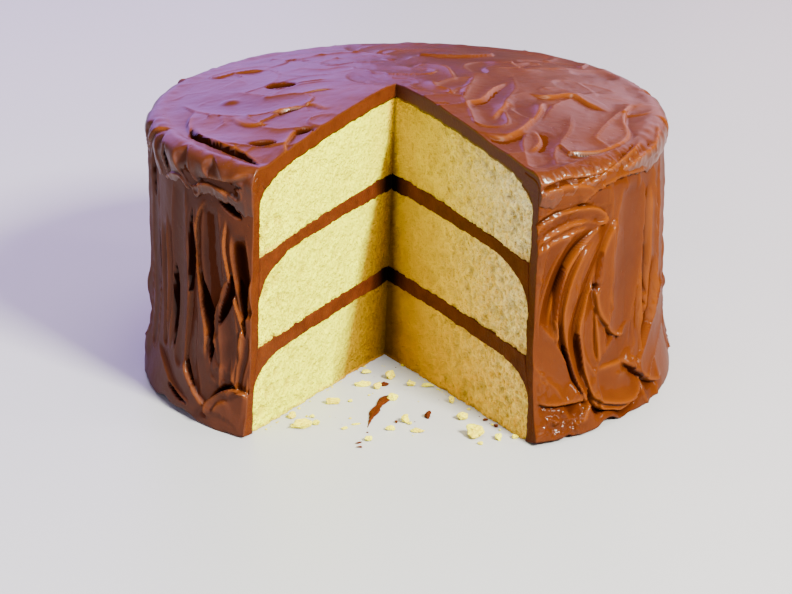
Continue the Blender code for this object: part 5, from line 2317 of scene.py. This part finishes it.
@dataclass
class Studio:
    """Floor, world, lamps and camera, all aimed at the cake's axis."""

    LIGHTS: ClassVar[tuple[SoftLight, ...]] = (
        SoftLight("window", (1.03, -1.36, 1.25), (0.4, 0.4), 225.0, (1.0, 0.985, 0.84)),
        SoftLight("side_window", (1.95, -0.45, 0.85), (0.22, 0.50), 18.0, (1.0, 0.92, 0.78)),
        SoftLight("overhead", (0.2, -0.3, 2.2), (1.4, 1.4), 55.0, (1.0, 0.97, 0.94)),
        SoftLight("violet_wall", (-0.42, 0.85, 0.42), (0.9, 0.6), 7.0, (0.50, 0.24, 1.0)),
        SoftLight("warm_wall", (0.50, 0.85, 0.42), (0.7, 0.6), 3.8, (1.0, 0.54, 0.76)),
        SoftLight("left_fill", (-1.5, -1.1, 0.9), (1.2, 1.2), 17.0, (0.90, 0.80, 1.0)),
    )

    plan: Plan
    lens_mm: float = 131.2
    pitch: float = math.radians(20.03)
    distance: float = 1.3125
    aim: Colour = (-0.0047, 0.0, 0.0291)
    lamp_aim: float = 0.06
    half_floor: float = 6.0
    world: Colour = (0.80, 0.78, 0.95)
    world_strength: float = 0.16

    def build(self, shelf: MaterialShelf) -> None:
        """Sets the stage up.

        Args:
            shelf: Where the floor's finish comes from.
        """
        self._floor(shelf)
        self._world()
        for light in self.LIGHTS:
            self._lamp(light)
        self._camera()

    def _floor(self, shelf: MaterialShelf) -> None:
        """A wide level floor under the cake.

        Args:
            shelf: Where its finish comes from.
        """
        mesh = bpy.data.meshes.new("floor")
        half = self.half_floor
        points = [(-half, -half, 0), (half, -half, 0), (half, half, 0), (-half, half, 0)]
        mesh.from_pydata(points, [], [range(4)])
        mesh.materials.append(shelf.floor())
        floor = placed("floor", mesh)
        floor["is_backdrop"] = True

    def _world(self) -> None:
        """An even, slightly lilac light from all round."""
        world = bpy.data.worlds.new("studio")
        bpy.context.scene.world = world
        world.use_nodes = True
        background = world.node_tree.nodes["Background"]
        background.inputs["Color"].default_value = (*self.world, 1.0)
        background.inputs["Strength"].default_value = self.world_strength

    def _lamp(self, light: SoftLight) -> None:
        """Adds one lamp.

        Args:
            light: The lamp.
        """
        lamp = bpy.data.lights.new(light.name, "AREA")
        lamp.shape = "RECTANGLE"
        lamp.size, lamp.size_y = light.size
        lamp.energy = light.power
        lamp.color = light.colour
        holder = placed(light.name, lamp)
        holder.location = light.place
        aim = Vector((*self.plan.axis, self.lamp_aim)) - Vector(light.place)
        holder.rotation_euler = aim.to_track_quat("-Z", "Y").to_euler()

    def _camera(self) -> None:
        """Looks down at the wedge from straight in front."""
        camera = bpy.data.cameras.new("camera")
        camera.lens = self.lens_mm
        camera.sensor_width = 36.0
        camera.clip_end = 50.0
        holder = placed("camera", camera)
        back = Vector((0.0, -math.cos(self.pitch), math.sin(self.pitch)))
        across, inward = self.plan.axis
        aim = Vector((across + self.aim[0], inward + self.aim[1], self.aim[2]))
        holder.location = aim + self.distance * back
        holder.rotation_euler = (0.5 * math.pi - self.pitch, 0.0, 0.0)
        bpy.context.scene.camera = holder


# ---------------------------------------------------------------------------------------------
# Putting it together


@dataclass
class LayerCake:
    """The whole cake: coat, layers, fillings and crumbs."""

    # Between which values of an attribute a face gets the matt finish of deep places and painted shade, or
    # that of the knife's cut.
    DEEP_RELIEF: ClassVar[Pair] = (-9.0, -1.1)
    ON_CUT: ClassVar[Pair] = (0.5, 1.0)

    plan: Plan
    shelf: MaterialShelf
    taper: float = 0.0015
    layer_seed: int = 21
    filling_seed: int = 31

    def mount(self, piece: Object, material: Material, slot: str, *nodes: str) -> None:
        """Dresses a piece, lets it ride on the cake's body, and hides the nodes that it replaces.

        Args:
            piece: The piece.
            material: Its finish.
            slot: Not used.
            *nodes: The nodes that the piece replaces.
        """
        piece.data.materials.append(material)
        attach(piece, BODY)
        if nodes:
            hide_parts(*nodes)
        LOG.info("%s: %d faces", piece.name, len(piece.data.polygons))

    @staticmethod
    def dress(piece: Object, name: str, limits: Pair, material: Material) -> None:
        """Gives some faces a finish of their own: those whose points all hold a value between two limits.

        Args:
            piece: The piece.
            name: The attribute to look at.
            limits: The lowest and the highest value.
            material: The finish.
        """
        mesh = piece.data
        mesh.materials.append(material)
        held = read(mesh.attributes[name].data, "value", np.float32)
        corners = read(mesh.loops, "vertex_index", np.int32)
        starts = read(mesh.polygons, "loop_start", np.int32)
        index = read(mesh.polygons, "material_index", np.int32)
        inside = ((held >= limits[0]) & (held <= limits[1])).astype(np.int32)
        index[np.minimum.reduceat(inside[corners], starts) > 0] = len(mesh.materials) - 1
        mesh.polygons.foreach_set("material_index", index)

    def build(self) -> None:
        """Builds every piece in order."""
        plan, shelf = self.plan, self.shelf
        coat = Coat(plan, Section(plan), StrokeBook())
        cut_coat = shelf.cut_coat()
        # A matt copy of the frosting for deep places and painted shade, where no glint may show.
        shaded = shelf.frosting(shelf.DEEP)
        wall = FrostingSide(coat).build()
        sheet = FrostingTop(coat).build()
        for piece, surface in ((wall, shelf.WALL), (sheet, shelf.TOP)):
            self.mount(piece, shelf.frosting(surface), Slot.FROSTING.value, "frosting")
            self.dress(piece, "relief", self.DEEP_RELIEF, shaded)
            self.dress(piece, "cut", self.ON_CUT, cut_coat)
        for layer in self.layers():
            crumb = shelf.sponge(layer.slab.name, layer.foot)
            self.mount(layer.build(), crumb, Slot.SPONGE.value, layer.node)
        cut_filling = shelf.cut_filling()
        for filling in self.fillings():
            self.mount(filling.build(), cut_filling, Slot.FILLING.value, filling.node)
        yellow = Crumbs(plan, "sponge_crumbs", SPONGE_CRUMBS, Dust(70, 0.5, 2.0, 0.6, 92))
        self.mount(yellow.build(), shelf.loose_crumb(), Slot.SPONGE.value)
        brown = Crumbs(plan, "chocolate_crumbs", CHOCOLATE_CRUMBS, Dust(16, 0.4, 1.1, 0.4, 94), (STREAK,))
        self.mount(brown.build(), cut_coat, Slot.FROSTING.value)

    def layers(self) -> list[SpongeLayer]:
        """The three layers, from the bottom up."""
        plan, rim, base = self.plan, self.plan.sponge_radius, self.plan.base_radius
        table = (
            ("bottom", plan.base_top, Crown(0.0, 0.0), base, base, plan.base_shoulder),
            ("middle", plan.middle_top, plan.middle_underside, rim, rim - self.taper, plan.middle_shoulder),
            ("top", plan.upper_top, plan.upper_underside, rim, rim - self.taper, plan.upper_shoulder),
        )
        return [
            SpongeLayer(plan, Slab(f"crumb_{name}", *sizes), f"sponge_{name}", self.layer_seed + number)
            for number, (name, *sizes) in enumerate(table)
        ]

    def fillings(self) -> list[Filling]:
        """The two fillings, from the bottom up: each follows the shoulder of the layer below."""
        plan, rim, base = self.plan, self.plan.sponge_radius, self.plan.base_radius
        narrow = rim - self.taper
        table = (
            ("lower", plan.middle_underside, plan.base_top, narrow, base, None, plan.base_shoulder, base),
            ("upper", plan.upper_underside, plan.middle_top, narrow, rim, None, plan.middle_shoulder, rim),
        )
        return [
            Filling(plan, Slab(f"cream_{name}", *sizes), f"filling_{name}", self.filling_seed + number)
            for number, (name, *sizes) in enumerate(table)
        ]


def corners(box: tuple[Vector, Vector]) -> list[list[float]]:
    """A box as plain lists of numbers."""
    return [[float(value) for value in corner] for corner in box]


def main() -> None:
    """Builds the cake and the studio round it, and works out both boxes."""
    logging.basicConfig(level=logging.INFO, format="%(name)s: %(message)s")
    plan = Plan.from_frame()
    shelf = MaterialShelf(plan)
    LayerCake(plan, shelf).build()
    Studio(plan).build(shelf)
    {"cad": corners(CAD_BOX), "visual": corners(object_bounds())}


if __name__ == "__main__":
    main()
